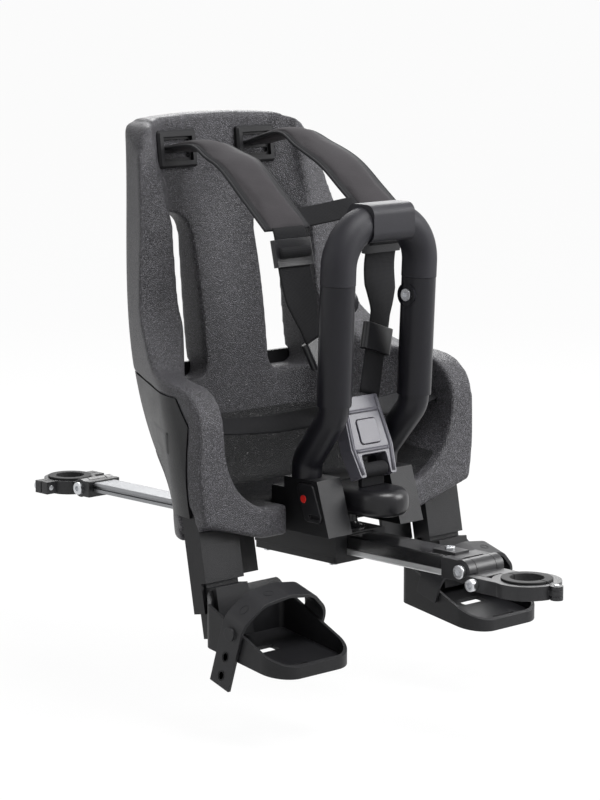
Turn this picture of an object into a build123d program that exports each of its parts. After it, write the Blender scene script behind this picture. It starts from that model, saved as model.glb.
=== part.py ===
import os
from math import cos, radians, sin

from build123d import *

os.makedirs("parts", exist_ok=True)

# A child's seat that spans a bicycle from the steerer to the seat post.
# Millimetres, +Z up. The origin is the middle of the steerer clamp and the child faces -Y.

# Bicycle tubes that the two clamps take
steerer_diameter = 28.6
post_diameter = 27.2
clamp_spacing = 600.0
clamp_play = 0.05

# Clearances between pieces
seat_gap = 0.3
slide_gap = 0.4
pin_gap = 0.05

# Rail: a grooved bar that slides in a channel closed below by a flat strip
strip_bottom = -1.8
strip_thick = 5.6
channel_width = 33.0
channel_height = 12.0
channel_wall = 2.6
channel_skin = 2.1
groove_height = 2.4
groove_depth = 3.0
channel_front = 78.0
channel_length = 222.0
bar_setback = 6.0
rail_edge_r = 1.6

# Pivots between the rail and the clamp arms
front_reach = 55.0
rear_reach = 39.0
pivot_z = 7.0
front_barrel_r = 10.0
rear_barrel_r = 8.8
front_tongue_half = 12.0
rear_tongue_half = 10.0
lug_thick = 9.0
pivot_pin_r = 3.0
pivot_head_r = 6.0
pivot_head_thick = 4.0
tongue_relief = 1.6
barrel_step = 1.0
yoke_root = 3.0
tab_thick = 2.4
tab_half = 9.0
tab_length = 26.0
tab_overhang = 4.0
tab_screw_inset = 10.0
tab_screw_r = 2.5
tab_head_r = 4.5
tab_head_thick = 2.4
bolt_edge_r = 0.8

# Clamp rings
clamp_height = 12.0
liner_wall = 5.4
liner_gap = 0.15
liner_lip = 2.0
liner_lip_reach = 2.3
front_ring_wall = 9.5
rear_ring_wall = 6.0
rear_ring_z = 4.5
arm_width = 35.0
rear_arm_width = 28.0
split_gap = 1.2
hinge_r = 5.5
hinge_sink = 2.0
hinge_pin_r = 2.2
knuckle_height = 5.0
ear_thick = 9.0
pinch_r = 3.0
pinch_head_r = 5.2
pinch_head_thick = 6.0
pinch_depth = 24.0
cap_ear_reach = 11.0
cap_ear_depth = 9.0
cap_bolt_r = 2.5
cap_head_r = 4.2
cap_head_thick = 4.0

# Saddle block round the rail, and the post that carries the pommel
saddle_half = 31.0
saddle_front = 196.0
saddle_length = 104.0
saddle_top = 17.6
keeper_thick = 6.0
keeper_screw_r = 2.0
keeper_head_r = 3.8
keeper_head_thick = 2.4
keeper_screw_grip = 12.0
keeper_screw_inset = 10.0
saddle_edge_r = 3.0
post_y = 210.0
post_base_r = 14.0
post_neck_r = 7.0
post_foot_thick = 2.5

# Hub behind the pommel with two sockets for the handle
hub_half = 59.0
socket_front = 191.0
socket_toe = 176.0
socket_rear = 232.0
hub_core_front = 222.0
hub_rear = 248.0
hub_bottom = 22.0
hub_top = 60.0
socket_top = 70.0
socket_width = 29.0
stem_half = 24.0
stem_front = 229.0

# Pommel pad
pommel_tip = 147.0
pommel_half = 26.0
pommel_bottom = 36.0
pommel_top = 60.0
pommel_edge_r = 8.0

# Release paddles and their red marks
paddle_length = 22.0
paddle_height = 33.0
paddle_thick = 4.5
paddle_proud = 1.6
paddle_travel = 2.0
paddle_lean = 6.5
paddle_y = 199.5
paddle_z = 50.0
mark_r = 3.4
mark_inset = 1.0
mark_rise = 3.0
mark_depth = 2.0
mark_proud = 0.5
paddle_corner_r = 5.0
paddle_edge_r = 0.8
paddle_slot_height = 4.0
paddle_slot_rise = 5.0
paddle_slot_end = 4.5

# Foam bucket: rear face and half widths of its outline at five heights
floor_z = 20.9
rim_z = 150.0
lumbar_z = 280.0
crown_z = 378.0
foam_front = 216.0
front_half_foot = 162.0
front_half_rim = 168.0
waist_half_foot = 158.0
waist_half_rim = 163.0
waist_half_lumbar = 121.0
waist_half_crown = 103.0
waist_y_foot = 268.0
waist_y_rim = 276.0
waist_y_lumbar = 350.0
waist_y_crown = 375.0
rear_half_foot = 68.0
rear_half_rim = 105.0
rear_half_lumbar = 102.0
rear_half_crown = 92.0
rear_y_foot = 350.0
rear_y_rim = 384.0
rear_y_lumbar = 397.0
rear_y_crown = 408.0
crown_corner_r = 24.0
crown_arch = 6.0
foot_corner_r = 30.0
rim_corner_r = 40.0
lumbar_corner_r = 24.0
crown_edge_r = 12.0
waist_r = 60.0
lumbar_waist_r = 30.0
crown_waist_r = 16.0

# Sitting space inside the bucket
pan_z = 48.0
spine_thick = 22.0
spine_foot_thick = 17.0
bolster_depth = 32.0
crown_bolster_depth = 12.0
spine_half = 62.0
bolster_spread = 26.0
space_corner_r = 24.0
space_waist_r = 40.0
lumbar_space_r = 18.0
lumbar_space_waist_r = 20.0
crown_space_r = 10.0
crown_space_waist_r = 8.0
rim_spread = 6.0
crown_spread = 8.0
wall_thick = 28.0
thigh_z = 66.0
thigh_draw = 8.5
pan_draw = 36.0
notch_half = 69.0
leg_recess_z = 33.7
leg_recess_x = 78.0
leg_recess_rear = 256.0
apron_rear = 227.4
apron_x = 97.0
apron_rise = 20.0

# Side view of the foam: arm rest and bolsters
arm_rake = 2.0
arm_front_z = 151.0
arm_front_r = 38.0
arm_knee_y = 302.0
arm_knee_z = 164.0
arm_knee_r = 40.0
bolster_foot_y = 338.0
bolster_foot_z = 204.0
bolster_foot_r = 50.0
bolster_mid_y = 346.0

# Backrest windows
window_x = 62.0
window_width = 46.0
window_bottom = 142.0
window_top = 290.0
window_top_r = 21.0
window_foot_r = 9.0

# Carrier: moulded shell round the bucket with a sleeve for each leg
panel_thick = 3.4
panel_reveal = 0.5
panel_front = 236.0
panel_top_front = 125.0
panel_top_mid = 147.0
panel_top_rear = 154.0
panel_low_rear = 78.0
panel_low_front = 46.0
panel_shoulder = 20.0
panel_low_y = 332.0
panel_back_low = 98.0
panel_toe = 46.0
floor_thick = 3.0
floor_half = 84.0
floor_rear = 335.0
leg_tilt = 10.5
leg_y = 236.0
seam_z = -12.0
sleeve_outer = 160.4
sleeve_inner = 116.0
sleeve_front = -14.0
sleeve_rear = 6.0
sleeve_wall = 3.5
web_inner = 79.0
web_front = 8.0
skirt_length = 26.0
flange_top_z = 64.0
sleeve_top_front = 230.6
sleeve_top_depth = 22.0
skirt_front = -8.0

# Seat pan in the opening of the bucket floor
pan_half = 62.0
pan_front = 266.0
pan_rear = 332.0
pan_corner_r = 24.0
pan_drop = 4.0
pan_edge_r = 6.0

# Foot cups
foot_x = 120.0
cup_half = 46.0
toe_y = 124.0
heel_y = 219.0
heel_bottom = -62.0
toe_bottom = -77.0
toe_top = -67.0
cup_side_top = -25.0
heel_top = -15.0
heel_bend = 5.0
cup_wall = 3.2
toe_corner_r = 24.0
heel_corner_r = 8.0
drain_x = 130.0
drain_y = 161.0
drain_pitch = 44.0
drain_length = 28.0
drain_width = 12.0
drain_corner_r = 2.0
upright_top = 40.0
upright_bottom = -48.0
bridge_front = -22.0
bridge_top = -4.0

# Foot straps
strap_width = 24.0
strap_thick = 3.2
strap_lean = 17.5
strap_y = 180.0
strap_spring_z = -40.5
strap_tail = 54.0
strap_inner_end = 12.0
strap_haunch = 8.0
strap_shoulder = 25.0
strap_crest = 29.0
strap_bend_r = 18.0
strap_stud_r = 6.0
strap_stud_thick = 2.5
strap_stud_drop = 4.0

# Leg latches
latch_x = 142.0
latch_width = 20.0
latch_height = 36.0
latch_z = -4.0
latch_thick = 5.0
latch_travel = 2.0
latch_stem_width = 12.0
latch_stem_height = 20.0
latch_corner_r = 4.0
latch_edge_r = 1.5
latch_engage = 1.2

# Handle
handle_end = (47.0, 216.0, 60.0)
handle_knee = (47.0, 215.5, 84.0)
handle_bend = (49.5, 180.0, 128.0)
handle_corner = (50.0, 172.5, 293.0)
handle_seam_z = 241.5
handle_step_z = 137.0
handle_tube_r = 13.4
handle_sleeve_r = 15.2
grip_r = 15.5
handle_bend_r = 22.0
grip_bend_r = 38.0
plate_half = 25.0
plate_height = 33.0
plate_depth = 33.0
plate_corner_r = 9.0
handle_screw_z = 226.0
handle_screw_r = 5.5
handle_screw_depth = 6.0
handle_screw_proud = 1.2
handle_drive_depth = 2.0

# Harness
strap_x = 48.0
frame_width = 46.0
frame_height = 34.0
frame_thick = 5.0
frame_z = 347.0
frame_border = 6.0
frame_corner_r = 3.0
frame_back = 1.5
frame_slot_height = 5.0
pad_thick = 8.0
pad_start_half = 14.0
pad_end_half = 26.0
webbing_width = 38.0
webbing_thick = 2.2
slider_width = 46.0
slider_height = 24.0
slider_thick = 5.0
adjuster_width = 34.0
adjuster_height = 24.0
adjuster_thick = 8.0
slider_along = 0.45
adjuster_along = 0.3
belt_width = 25.0
chest_width = 22.0
frame_proud = 2.0
pad_bend_r = 40.0
right_pad_bend_1 = (345.0, 354.0)
right_pad_bend_2 = (298.0, 336.0)
right_pad_end = (238.0, 284.0)
left_pad_bend_1 = (335.0, 363.0)
left_pad_bend_2 = (272.0, 336.0)
left_pad_end = (216.0, 293.0)
right_strap_drop = (-48.0, 228.0, 243.0)
right_strap_adjust = (-42.0, 219.0, 204.0)
left_strap_drop = (48.0, 222.0, 246.0)
left_strap_adjust = (42.0, 214.0, 210.0)
lower_strap_width = 24.0
chest_right = (250.0, 294.0)
chest_left = (234.0, 306.0)
belt_start = (12.0, 211.0, 124.0)
belt_lie = (0.0, 0.9, 0.43)
belt_mid = (75.0, 232.0, 117.0)
belt_end = (143.0, 249.0, 121.0)
buckle_y = 191.0
buckle_z = 98.0
buckle_lean = 21.0
buckle_thick = 14.0
buckle_top = 40.0
buckle_shoulder = -6.0
buckle_foot = -32.0
buckle_top_half = 22.0
buckle_half = 26.0
buckle_mouth_half = 15.0
buckle_mouth_top = -12.0
buckle_foot_half = 22.0
buckle_strap_x = 12.5
buckle_bar_y = -25.0
buckle_bar_r = 4.0
button_width = 24.0
button_height = 22.0
button_y = 8.0
button_thick = 4.0
button_proud = 1.2
button_travel = 2.0
button_corner_r = 3.0
buckle_edge_r = 2.0
crotch_width = 28.0

# Sizes that follow from the ones above
strip_top = strip_bottom + strip_thick
channel_top = strip_top + channel_height
bar_bottom = strip_top + slide_gap
bar_top = channel_top - channel_skin - slide_gap
bar_width = channel_width - 2 * (channel_wall + slide_gap)
channel_rear = channel_front + channel_length
bar_front = channel_front + bar_setback
rear_pivot_y = clamp_spacing - rear_reach
bar_rear = rear_pivot_y - rear_barrel_r - tongue_relief - yoke_root
keeper_top = strip_bottom - slide_gap
keeper_bottom = keeper_top - keeper_thick
saddle_rear = saddle_front + saddle_length


def keep(piece, name):
    """Label one finished piece and write it."""
    piece.label = name
    export_step(piece, f"parts/{name}.step")


def keep_pair(piece, name):
    """Write a piece modelled on the child's right, and its mirror image on the left."""
    keep(piece, f"{name}_right")
    keep(mirror(piece, about=Plane.YZ), f"{name}_left")


def across(y):
    """Plane square to the rail at a distance y, with local axes X and Z, looking forward."""
    return Plane.XZ.offset(-y)


# Rail channel: a black extrusion, open below
with BuildPart() as rail_channel:
    with BuildSketch(across(channel_rear)):
        with Locations((0, strip_top)):
            Rectangle(channel_width, channel_height, align=(Align.CENTER, Align.MIN))
            Rectangle(bar_width + 2 * slide_gap, channel_height - channel_skin,
                      align=(Align.CENTER, Align.MIN), mode=Mode.SUBTRACT)
    extrude(amount=channel_length)
    fillet(rail_channel.edges().filter_by(Axis.Y).group_by(Axis.Z)[-1], rail_edge_r)
keep(rail_channel.part, "rail_channel")

# Rail strip: a grey flat that closes the channel from below
with BuildPart() as rail_strip:
    with BuildSketch(across(channel_rear)):
        with Locations((0, strip_bottom)):
            Rectangle(channel_width, strip_thick, align=(Align.CENTER, Align.MIN))
    extrude(amount=channel_length)
    fillet(rail_strip.edges().filter_by(Axis.Y).group_by(Axis.Z)[0], rail_edge_r)
keep(rail_strip.part, "rail_strip")

# Rail bar: a grey extrusion with a groove in each side, which runs in the channel
with BuildPart() as rail_bar:
    with BuildSketch(across(bar_rear)):
        with Locations((0, bar_bottom)):
            Rectangle(bar_width, bar_top - bar_bottom, align=(Align.CENTER, Align.MIN))
        with Locations((0, (bar_bottom + bar_top) / 2)):
            with GridLocations(bar_width, 0, 2, 1):
                Rectangle(2 * groove_depth, groove_height, mode=Mode.SUBTRACT)
    extrude(amount=bar_rear - bar_front)
    fillet(rail_bar.edges().filter_by(Axis.Y).group_by(Axis.Z)[-1], rail_edge_r)
keep(rail_bar.part, "rail_bar")

# Front yoke: two lugs on the channel's end, with a tab screwed to its top
yoke_half = front_tongue_half + slide_gap + lug_thick
tab_screw_y = channel_front + tab_screw_inset
with BuildPart() as front_yoke:
    with BuildSketch(Plane.YZ.offset(-yoke_half)):
        with Locations((front_reach, pivot_z)):
            Circle(front_barrel_r)
            Rectangle(channel_front - front_reach, 2 * (front_barrel_r - barrel_step),
                      align=(Align.MIN, Align.CENTER))
    extrude(amount=2 * yoke_half)
    with BuildSketch(Plane.YZ.offset(-front_tongue_half - slide_gap)):
        with Locations((front_reach, pivot_z)):
            Circle(front_barrel_r + tongue_relief)
            Rectangle(2 * front_barrel_r, 4 * front_barrel_r, align=(Align.MAX, Align.CENTER))
    extrude(amount=2 * (front_tongue_half + slide_gap), mode=Mode.SUBTRACT)
    with BuildSketch(Plane.XY.offset(channel_top)):
        with Locations((0, channel_front - tab_overhang)):
            Rectangle(2 * tab_half, tab_length, align=(Align.CENTER, Align.MIN))
    extrude(amount=tab_thick)
    with BuildSketch(Plane.YZ.offset(-yoke_half)):
        with Locations((front_reach, pivot_z)):
            Circle(pivot_pin_r + pin_gap)
    extrude(amount=2 * yoke_half, mode=Mode.SUBTRACT)
    with BuildSketch(Plane.XY.offset(channel_top)):
        with Locations((0, tab_screw_y)):
            Circle(tab_screw_r + pin_gap)
    extrude(amount=tab_thick, mode=Mode.SUBTRACT)
keep(front_yoke.part, "front_yoke")

# Screw that holds the yoke's tab on the channel
with BuildPart() as yoke_screw:
    with BuildSketch(Plane.XY.offset(channel_top)):
        with Locations((0, tab_screw_y)):
            Circle(tab_screw_r)
    extrude(amount=tab_thick)
    with BuildSketch(Plane.XY.offset(channel_top + tab_thick)):
        with Locations((0, tab_screw_y)):
            Circle(tab_head_r)
    extrude(amount=tab_head_thick)
    fillet(yoke_screw.edges().group_by(Axis.Z)[-1], bolt_edge_r)
    with BuildSketch(Plane.XY.offset(channel_top + tab_thick + tab_head_thick)):
        with Locations((0, tab_screw_y)):
            RegularPolygon(tab_head_r / 2, 6)
    extrude(amount=-tab_head_thick / 2, mode=Mode.SUBTRACT)
keep(yoke_screw.part, "yoke_screw")


def pivot_pin(y, half, name):
    """Socket-head pin along X through a yoke, threaded in its far lug."""
    with BuildPart() as pin:
        with BuildSketch(Plane.YZ.offset(-half)):
            with Locations((y, pivot_z)):
                Circle(pivot_pin_r)
        extrude(amount=2 * half)
        with BuildSketch(Plane.YZ.offset(-half)):
            with Locations((y, pivot_z)):
                Circle(pivot_head_r)
        extrude(amount=-pivot_head_thick)
        fillet(pin.edges().group_by(Axis.X)[0], bolt_edge_r)
        with BuildSketch(Plane.YZ.offset(-half - pivot_head_thick)):
            with Locations((y, pivot_z)):
                RegularPolygon(pivot_pin_r, 6)
        extrude(amount=pivot_head_thick / 2, mode=Mode.SUBTRACT)
    keep(pin.part, f"{name}_pivot_bolt")


pivot_pin(front_reach, yoke_half, "front")

# Steerer clamp: half a ring on an arm, closed by a jaw on a hinge pin and a pinch bolt
front_bore_r = steerer_diameter / 2 + clamp_play
front_liner_r = front_bore_r + liner_wall
front_seat_r = front_liner_r + liner_gap
front_ring_r = front_seat_r + front_ring_wall
hinge_y = -(front_ring_r + hinge_r - hinge_sink)
neck_front = front_ring_r + split_gap
shoulder_y = front_reach - front_barrel_r - tongue_relief
pinch_y = neck_front + pinch_r + pin_gap + bolt_edge_r
ear_side = -arm_width / 2 - split_gap
half_height = clamp_height / 2
with BuildPart() as front_clamp_arm:
    with BuildSketch(Plane.XY.offset(-half_height)):
        Circle(front_ring_r)
        with Locations((split_gap / 2, 0)):
            Rectangle(3 * front_ring_r, 3 * front_ring_r,
                      align=(Align.MAX, Align.CENTER), mode=Mode.SUBTRACT)
        with Locations((0, hinge_y)):
            Circle(hinge_r)
        with Locations((split_gap / 2, hinge_y)):
            Rectangle(hinge_r - split_gap / 2, 2 * hinge_r, align=(Align.MIN, Align.MIN))
        with Locations((split_gap / 2, front_seat_r - split_gap)):
            Rectangle((arm_width - split_gap) / 2, neck_front - front_seat_r + 2 * split_gap,
                      align=(Align.MIN, Align.MIN))
        with Locations((0, neck_front)):
            Rectangle(arm_width, shoulder_y - neck_front, align=(Align.CENTER, Align.MIN))
        with Locations((0, shoulder_y)):
            Rectangle(2 * front_tongue_half, front_reach - shoulder_y, align=(Align.CENTER, Align.MIN))
        Circle(front_seat_r, mode=Mode.SUBTRACT)
    extrude(amount=clamp_height)
    with BuildSketch(Plane.YZ.offset(-front_tongue_half)):
        with Locations((front_reach, pivot_z)):
            Circle(front_barrel_r)
    extrude(amount=2 * front_tongue_half)
    with BuildSketch(Plane.YZ.offset(-front_tongue_half)):
        with Locations((front_reach, pivot_z)):
            Circle(pivot_pin_r + pin_gap)
    extrude(amount=2 * front_tongue_half, mode=Mode.SUBTRACT)
    with BuildSketch(Plane.XY.offset(-knuckle_height / 2 - seat_gap)):
        with Locations((0, hinge_y)):
            Circle(hinge_r + seat_gap)
    extrude(amount=knuckle_height + 2 * seat_gap, mode=Mode.SUBTRACT)
    with BuildSketch(Plane.XY.offset(-half_height)):
        with Locations((0, hinge_y)):
            Circle(hinge_pin_r + pin_gap)
    extrude(amount=clamp_height, mode=Mode.SUBTRACT)
    with BuildSketch(Plane.YZ.offset(-arm_width / 2)):
        with Locations((pinch_y, 0)):
            Circle(pinch_r + pin_gap)
    extrude(amount=pinch_depth, mode=Mode.SUBTRACT)
keep(front_clamp_arm.part, "front_clamp_arm")

with BuildPart() as front_clamp_jaw:
    with BuildSketch(Plane.XY.offset(-half_height)):
        Circle(front_ring_r)
        with Locations((-split_gap / 2, 0)):
            Rectangle(3 * front_ring_r, 3 * front_ring_r,
                      align=(Align.MIN, Align.CENTER), mode=Mode.SUBTRACT)
        with Locations((ear_side, front_ring_r / 3)):
            Rectangle(ear_thick, shoulder_y - front_ring_r / 3, align=(Align.MAX, Align.MIN))
        Circle(front_seat_r, mode=Mode.SUBTRACT)
        with Locations((0, hinge_y)):
            Circle(hinge_r + seat_gap, mode=Mode.SUBTRACT)
    extrude(amount=clamp_height)
    with BuildSketch(Plane.XY.offset(-knuckle_height / 2)):
        with Locations((0, hinge_y)):
            Circle(hinge_r)
        with Locations((-split_gap / 2, hinge_y)):
            Rectangle(hinge_r - split_gap / 2, 2 * hinge_r - hinge_sink, align=(Align.MAX, Align.MIN))
    extrude(amount=knuckle_height)
    with BuildSketch(Plane.XY.offset(-half_height)):
        with Locations((0, hinge_y)):
            Circle(hinge_pin_r + pin_gap)
    extrude(amount=clamp_height, mode=Mode.SUBTRACT)
    with BuildSketch(Plane.YZ.offset(ear_side - ear_thick)):
        with Locations((pinch_y, 0)):
            Circle(pinch_r + pin_gap)
    extrude(amount=ear_thick, mode=Mode.SUBTRACT)
keep(front_clamp_jaw.part, "front_clamp_jaw")

with BuildPart() as front_jaw_pin:
    with BuildSketch(Plane.XY.offset(-half_height)):
        with Locations((0, hinge_y)):
            Circle(hinge_pin_r)
    extrude(amount=clamp_height + bolt_edge_r)
keep(front_jaw_pin.part, "front_jaw_pin")

with BuildPart() as front_pinch_bolt:
    with BuildSketch(Plane.YZ.offset(ear_side - ear_thick)):
        with Locations((pinch_y, 0)):
            Circle(pinch_r)
    extrude(amount=ear_thick + split_gap + pinch_depth - split_gap)
    with BuildSketch(Plane.YZ.offset(ear_side - ear_thick)):
        with Locations((pinch_y, 0)):
            Circle(pinch_head_r)
    extrude(amount=-pinch_head_thick)
    fillet(front_pinch_bolt.edges().group_by(Axis.X)[0], bolt_edge_r)
    with BuildSketch(Plane.YZ.offset(ear_side - ear_thick - pinch_head_thick)):
        with Locations((pinch_y, 0)):
            RegularPolygon(pinch_r, 6)
    extrude(amount=pinch_head_thick / 2, mode=Mode.SUBTRACT)
keep(front_pinch_bolt.part, "front_pinch_bolt")


def liner_half(centre_y, centre_z, bore_r, side, name):
    """Half of a flanged rubber sleeve; side is the direction that the half lies in."""
    liner_r = bore_r + liner_wall
    with BuildPart() as liner:
        with BuildSketch(Plane.XY.offset(centre_z - half_height)):
            with Locations((0, centre_y)):
                Circle(liner_r)
        extrude(amount=clamp_height)
        with BuildSketch(Plane.XY.offset(centre_z - half_height),
                         Plane.XY.offset(centre_z + half_height + liner_lip)):
            with Locations((0, centre_y)):
                Circle(liner_r + liner_lip_reach)
        extrude(amount=-liner_lip)
        with BuildSketch(Plane.XY.offset(centre_z - clamp_height)):
            with Locations((0, centre_y)):
                Circle(bore_r)
        extrude(amount=2 * clamp_height, mode=Mode.SUBTRACT)
        split_plane = Plane(origin=(0, centre_y, 0), z_dir=side).offset(split_gap / 2 - seat_gap)
        split(bisect_by=split_plane, keep=Keep.TOP)
    keep(liner.part, name)


liner_half(0, 0, front_bore_r, (1, 0, 0), "front_liner_left")
liner_half(0, 0, front_bore_r, (-1, 0, 0), "front_liner_right")

# Rear yoke on the end of the bar
rear_yoke_half = rear_tongue_half + slide_gap + lug_thick
with BuildPart() as rear_yoke:
    with BuildSketch(Plane.YZ.offset(-rear_yoke_half)):
        with Locations((rear_pivot_y, pivot_z)):
            Circle(rear_barrel_r)
            Rectangle(rear_pivot_y - bar_rear, 2 * (rear_barrel_r - barrel_step),
                      align=(Align.MAX, Align.CENTER))
    extrude(amount=2 * rear_yoke_half)
    with BuildSketch(Plane.YZ.offset(-rear_tongue_half - slide_gap)):
        with Locations((rear_pivot_y, pivot_z)):
            Circle(rear_barrel_r + tongue_relief)
            Rectangle(2 * rear_barrel_r, 4 * rear_barrel_r, align=(Align.MIN, Align.CENTER))
    extrude(amount=2 * (rear_tongue_half + slide_gap), mode=Mode.SUBTRACT)
    with BuildSketch(Plane.YZ.offset(-rear_yoke_half)):
        with Locations((rear_pivot_y, pivot_z)):
            Circle(pivot_pin_r + pin_gap)
    extrude(amount=2 * rear_yoke_half, mode=Mode.SUBTRACT)
keep(rear_yoke.part, "rear_yoke")
pivot_pin(rear_pivot_y, rear_yoke_half, "rear")

# Seat post clamp: half a ring on an arm, closed by a cap with two bolts
rear_bore_r = post_diameter / 2 + clamp_play
rear_seat_r = rear_bore_r + liner_wall + liner_gap
rear_ring_r = rear_seat_r + rear_ring_wall
rear_shoulder_y = rear_pivot_y + rear_barrel_r + tongue_relief
cap_bolt_x = rear_ring_r + cap_ear_reach / 2
ear_half = rear_ring_r + cap_ear_reach
with BuildPart() as rear_clamp_arm:
    with BuildSketch(Plane.XY.offset(rear_ring_z - half_height)):
        with Locations((0, clamp_spacing)):
            Circle(rear_ring_r)
        with Locations((0, clamp_spacing - cap_ear_depth)):
            Rectangle(2 * ear_half, cap_ear_depth, align=(Align.CENTER, Align.MIN))
        with Locations((0, rear_shoulder_y)):
            Rectangle(rear_arm_width, clamp_spacing - rear_shoulder_y, align=(Align.CENTER, Align.MIN))
        with Locations((0, rear_pivot_y)):
            Rectangle(2 * rear_tongue_half, rear_reach / 2, align=(Align.CENTER, Align.MIN))
        with Locations((0, clamp_spacing - split_gap / 2)):
            Rectangle(3 * ear_half, rear_ring_r + split_gap,
                      align=(Align.CENTER, Align.MIN), mode=Mode.SUBTRACT)
        with Locations((0, clamp_spacing)):
            Circle(rear_seat_r, mode=Mode.SUBTRACT)
    extrude(amount=clamp_height)
    with BuildSketch(Plane.YZ.offset(-rear_tongue_half)):
        with Locations((rear_pivot_y, pivot_z)):
            Circle(rear_barrel_r)
    extrude(amount=2 * rear_tongue_half)
    with BuildSketch(Plane.YZ.offset(-rear_tongue_half)):
        with Locations((rear_pivot_y, pivot_z)):
            Circle(pivot_pin_r + pin_gap)
    extrude(amount=2 * rear_tongue_half, mode=Mode.SUBTRACT)
    with BuildSketch(across(clamp_spacing)):
        with Locations((-cap_bolt_x, rear_ring_z), (cap_bolt_x, rear_ring_z)):
            Circle(cap_bolt_r + pin_gap)
    extrude(amount=2 * cap_ear_depth, mode=Mode.SUBTRACT)
keep(rear_clamp_arm.part, "rear_clamp_arm")

with BuildPart() as rear_clamp_cap:
    with BuildSketch(Plane.XY.offset(rear_ring_z - half_height)):
        with Locations((0, clamp_spacing)):
            Circle(rear_ring_r)
            Rectangle(2 * ear_half, cap_ear_depth, align=(Align.CENTER, Align.MIN))
        with Locations((0, clamp_spacing + split_gap / 2)):
            Rectangle(3 * ear_half, rear_ring_r + split_gap,
                      align=(Align.CENTER, Align.MAX), mode=Mode.SUBTRACT)
        with Locations((0, clamp_spacing)):
            Circle(rear_seat_r, mode=Mode.SUBTRACT)
    extrude(amount=clamp_height)
    with BuildSketch(across(clamp_spacing)):
        with Locations((-cap_bolt_x, rear_ring_z), (cap_bolt_x, rear_ring_z)):
            Circle(cap_bolt_r + pin_gap)
    extrude(amount=-2 * cap_ear_depth, mode=Mode.SUBTRACT)
keep(rear_clamp_cap.part, "rear_clamp_cap")

with BuildPart() as cap_bolt:
    with BuildSketch(across(clamp_spacing + cap_ear_depth)):
        with Locations((-cap_bolt_x, rear_ring_z)):
            Circle(cap_bolt_r)
    extrude(amount=2 * cap_ear_depth)
    with BuildSketch(across(clamp_spacing + cap_ear_depth)):
        with Locations((-cap_bolt_x, rear_ring_z)):
            Circle(cap_head_r)
    extrude(amount=-cap_head_thick)
    fillet(cap_bolt.edges().group_by(Axis.Y)[-1], bolt_edge_r)
    with BuildSketch(across(clamp_spacing + cap_ear_depth + cap_head_thick)):
        with Locations((-cap_bolt_x, rear_ring_z)):
            RegularPolygon(cap_bolt_r, 6)
    extrude(amount=cap_head_thick / 2, mode=Mode.SUBTRACT)
keep_pair(cap_bolt.part, "rear_cap_bolt")

liner_half(clamp_spacing, rear_ring_z, rear_bore_r, (0, -1, 0), "rear_liner_front")
liner_half(clamp_spacing, rear_ring_z, rear_bore_r, (0, 1, 0), "rear_liner_rear")

# Saddle block over the rail, closed below by a screwed keeper plate
keeper_screw_x = (saddle_half + channel_width / 2 + seat_gap) / 2
with BuildPart() as rail_saddle:
    with BuildSketch(across(saddle_rear)):
        with Locations((0, keeper_top)):
            Rectangle(2 * saddle_half, saddle_top - keeper_top, align=(Align.CENTER, Align.MIN))
            Rectangle(channel_width + 2 * seat_gap, channel_top + seat_gap - keeper_top,
                      align=(Align.CENTER, Align.MIN), mode=Mode.SUBTRACT)
    extrude(amount=saddle_length)
    fillet(rail_saddle.edges().filter_by(Axis.Y).group_by(Axis.Z)[-1], saddle_edge_r)
    with BuildSketch(Plane.XY.offset(keeper_top)):
        with Locations((0, (saddle_front + saddle_rear) / 2)):
            with GridLocations(2 * keeper_screw_x, saddle_length - 2 * keeper_screw_inset, 2, 2):
                Circle(keeper_screw_r + pin_gap)
    extrude(amount=keeper_screw_grip, mode=Mode.SUBTRACT)
keep(rail_saddle.part, "rail_saddle")

with BuildPart() as saddle_keeper:
    with BuildSketch(Plane.XY.offset(keeper_bottom)):
        with Locations((0, (saddle_front + saddle_rear) / 2)):
            RectangleRounded(2 * saddle_half, saddle_length, saddle_edge_r)
            with GridLocations(2 * keeper_screw_x, saddle_length - 2 * keeper_screw_inset, 2, 2):
                Circle(keeper_screw_r + pin_gap, mode=Mode.SUBTRACT)
    extrude(amount=keeper_thick)
keep(saddle_keeper.part, "saddle_keeper")

with BuildPart() as keeper_screws:
    with BuildSketch(Plane.XY.offset(keeper_bottom)):
        with Locations((0, (saddle_front + saddle_rear) / 2)):
            with GridLocations(2 * keeper_screw_x, saddle_length - 2 * keeper_screw_inset, 2, 2):
                Circle(keeper_screw_r)
    extrude(amount=keeper_thick + keeper_screw_grip - split_gap)
    with BuildSketch(Plane.XY.offset(keeper_bottom)):
        with Locations((0, (saddle_front + saddle_rear) / 2)):
            with GridLocations(2 * keeper_screw_x, saddle_length - 2 * keeper_screw_inset, 2, 2):
                Circle(keeper_head_r)
    extrude(amount=-keeper_head_thick)
keep(keeper_screws.part, "keeper_screws")

# Post under the pommel: a turned column that flares to its foot
with BuildPart() as pommel_post:
    with BuildSketch(across(post_y)):
        with BuildLine():
            Polyline((post_neck_r, pommel_bottom), (0, pommel_bottom), (0, saddle_top),
                     (post_base_r, saddle_top), (post_base_r, saddle_top + post_foot_thick))
            flare_top = (post_neck_r, (saddle_top + pommel_bottom) / 2)
            TangentArc((post_base_r, saddle_top + post_foot_thick), flare_top, tangent=(-1, 0))
            Line(flare_top, (post_neck_r, pommel_bottom))
        make_face()
    revolve(axis=Axis((0, post_y, 0), (0, 0, 1)))
keep(pommel_post.part, "pommel_post")

def paddle_outline(grow):
    """Side view of a release paddle: a leaning plate with round corners, grown by a clearance."""
    half = paddle_length / 2 + grow
    rise = paddle_height / 2 + grow
    with BuildSketch() as outline:
        with BuildLine():
            Polyline((-half - paddle_lean, -rise), (half - paddle_lean, -rise), (half + paddle_lean, rise),
                     (paddle_lean - half, rise), close=True)
        make_face()
        fillet(outline.vertices(), paddle_corner_r + grow)
    return outline.sketch


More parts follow.
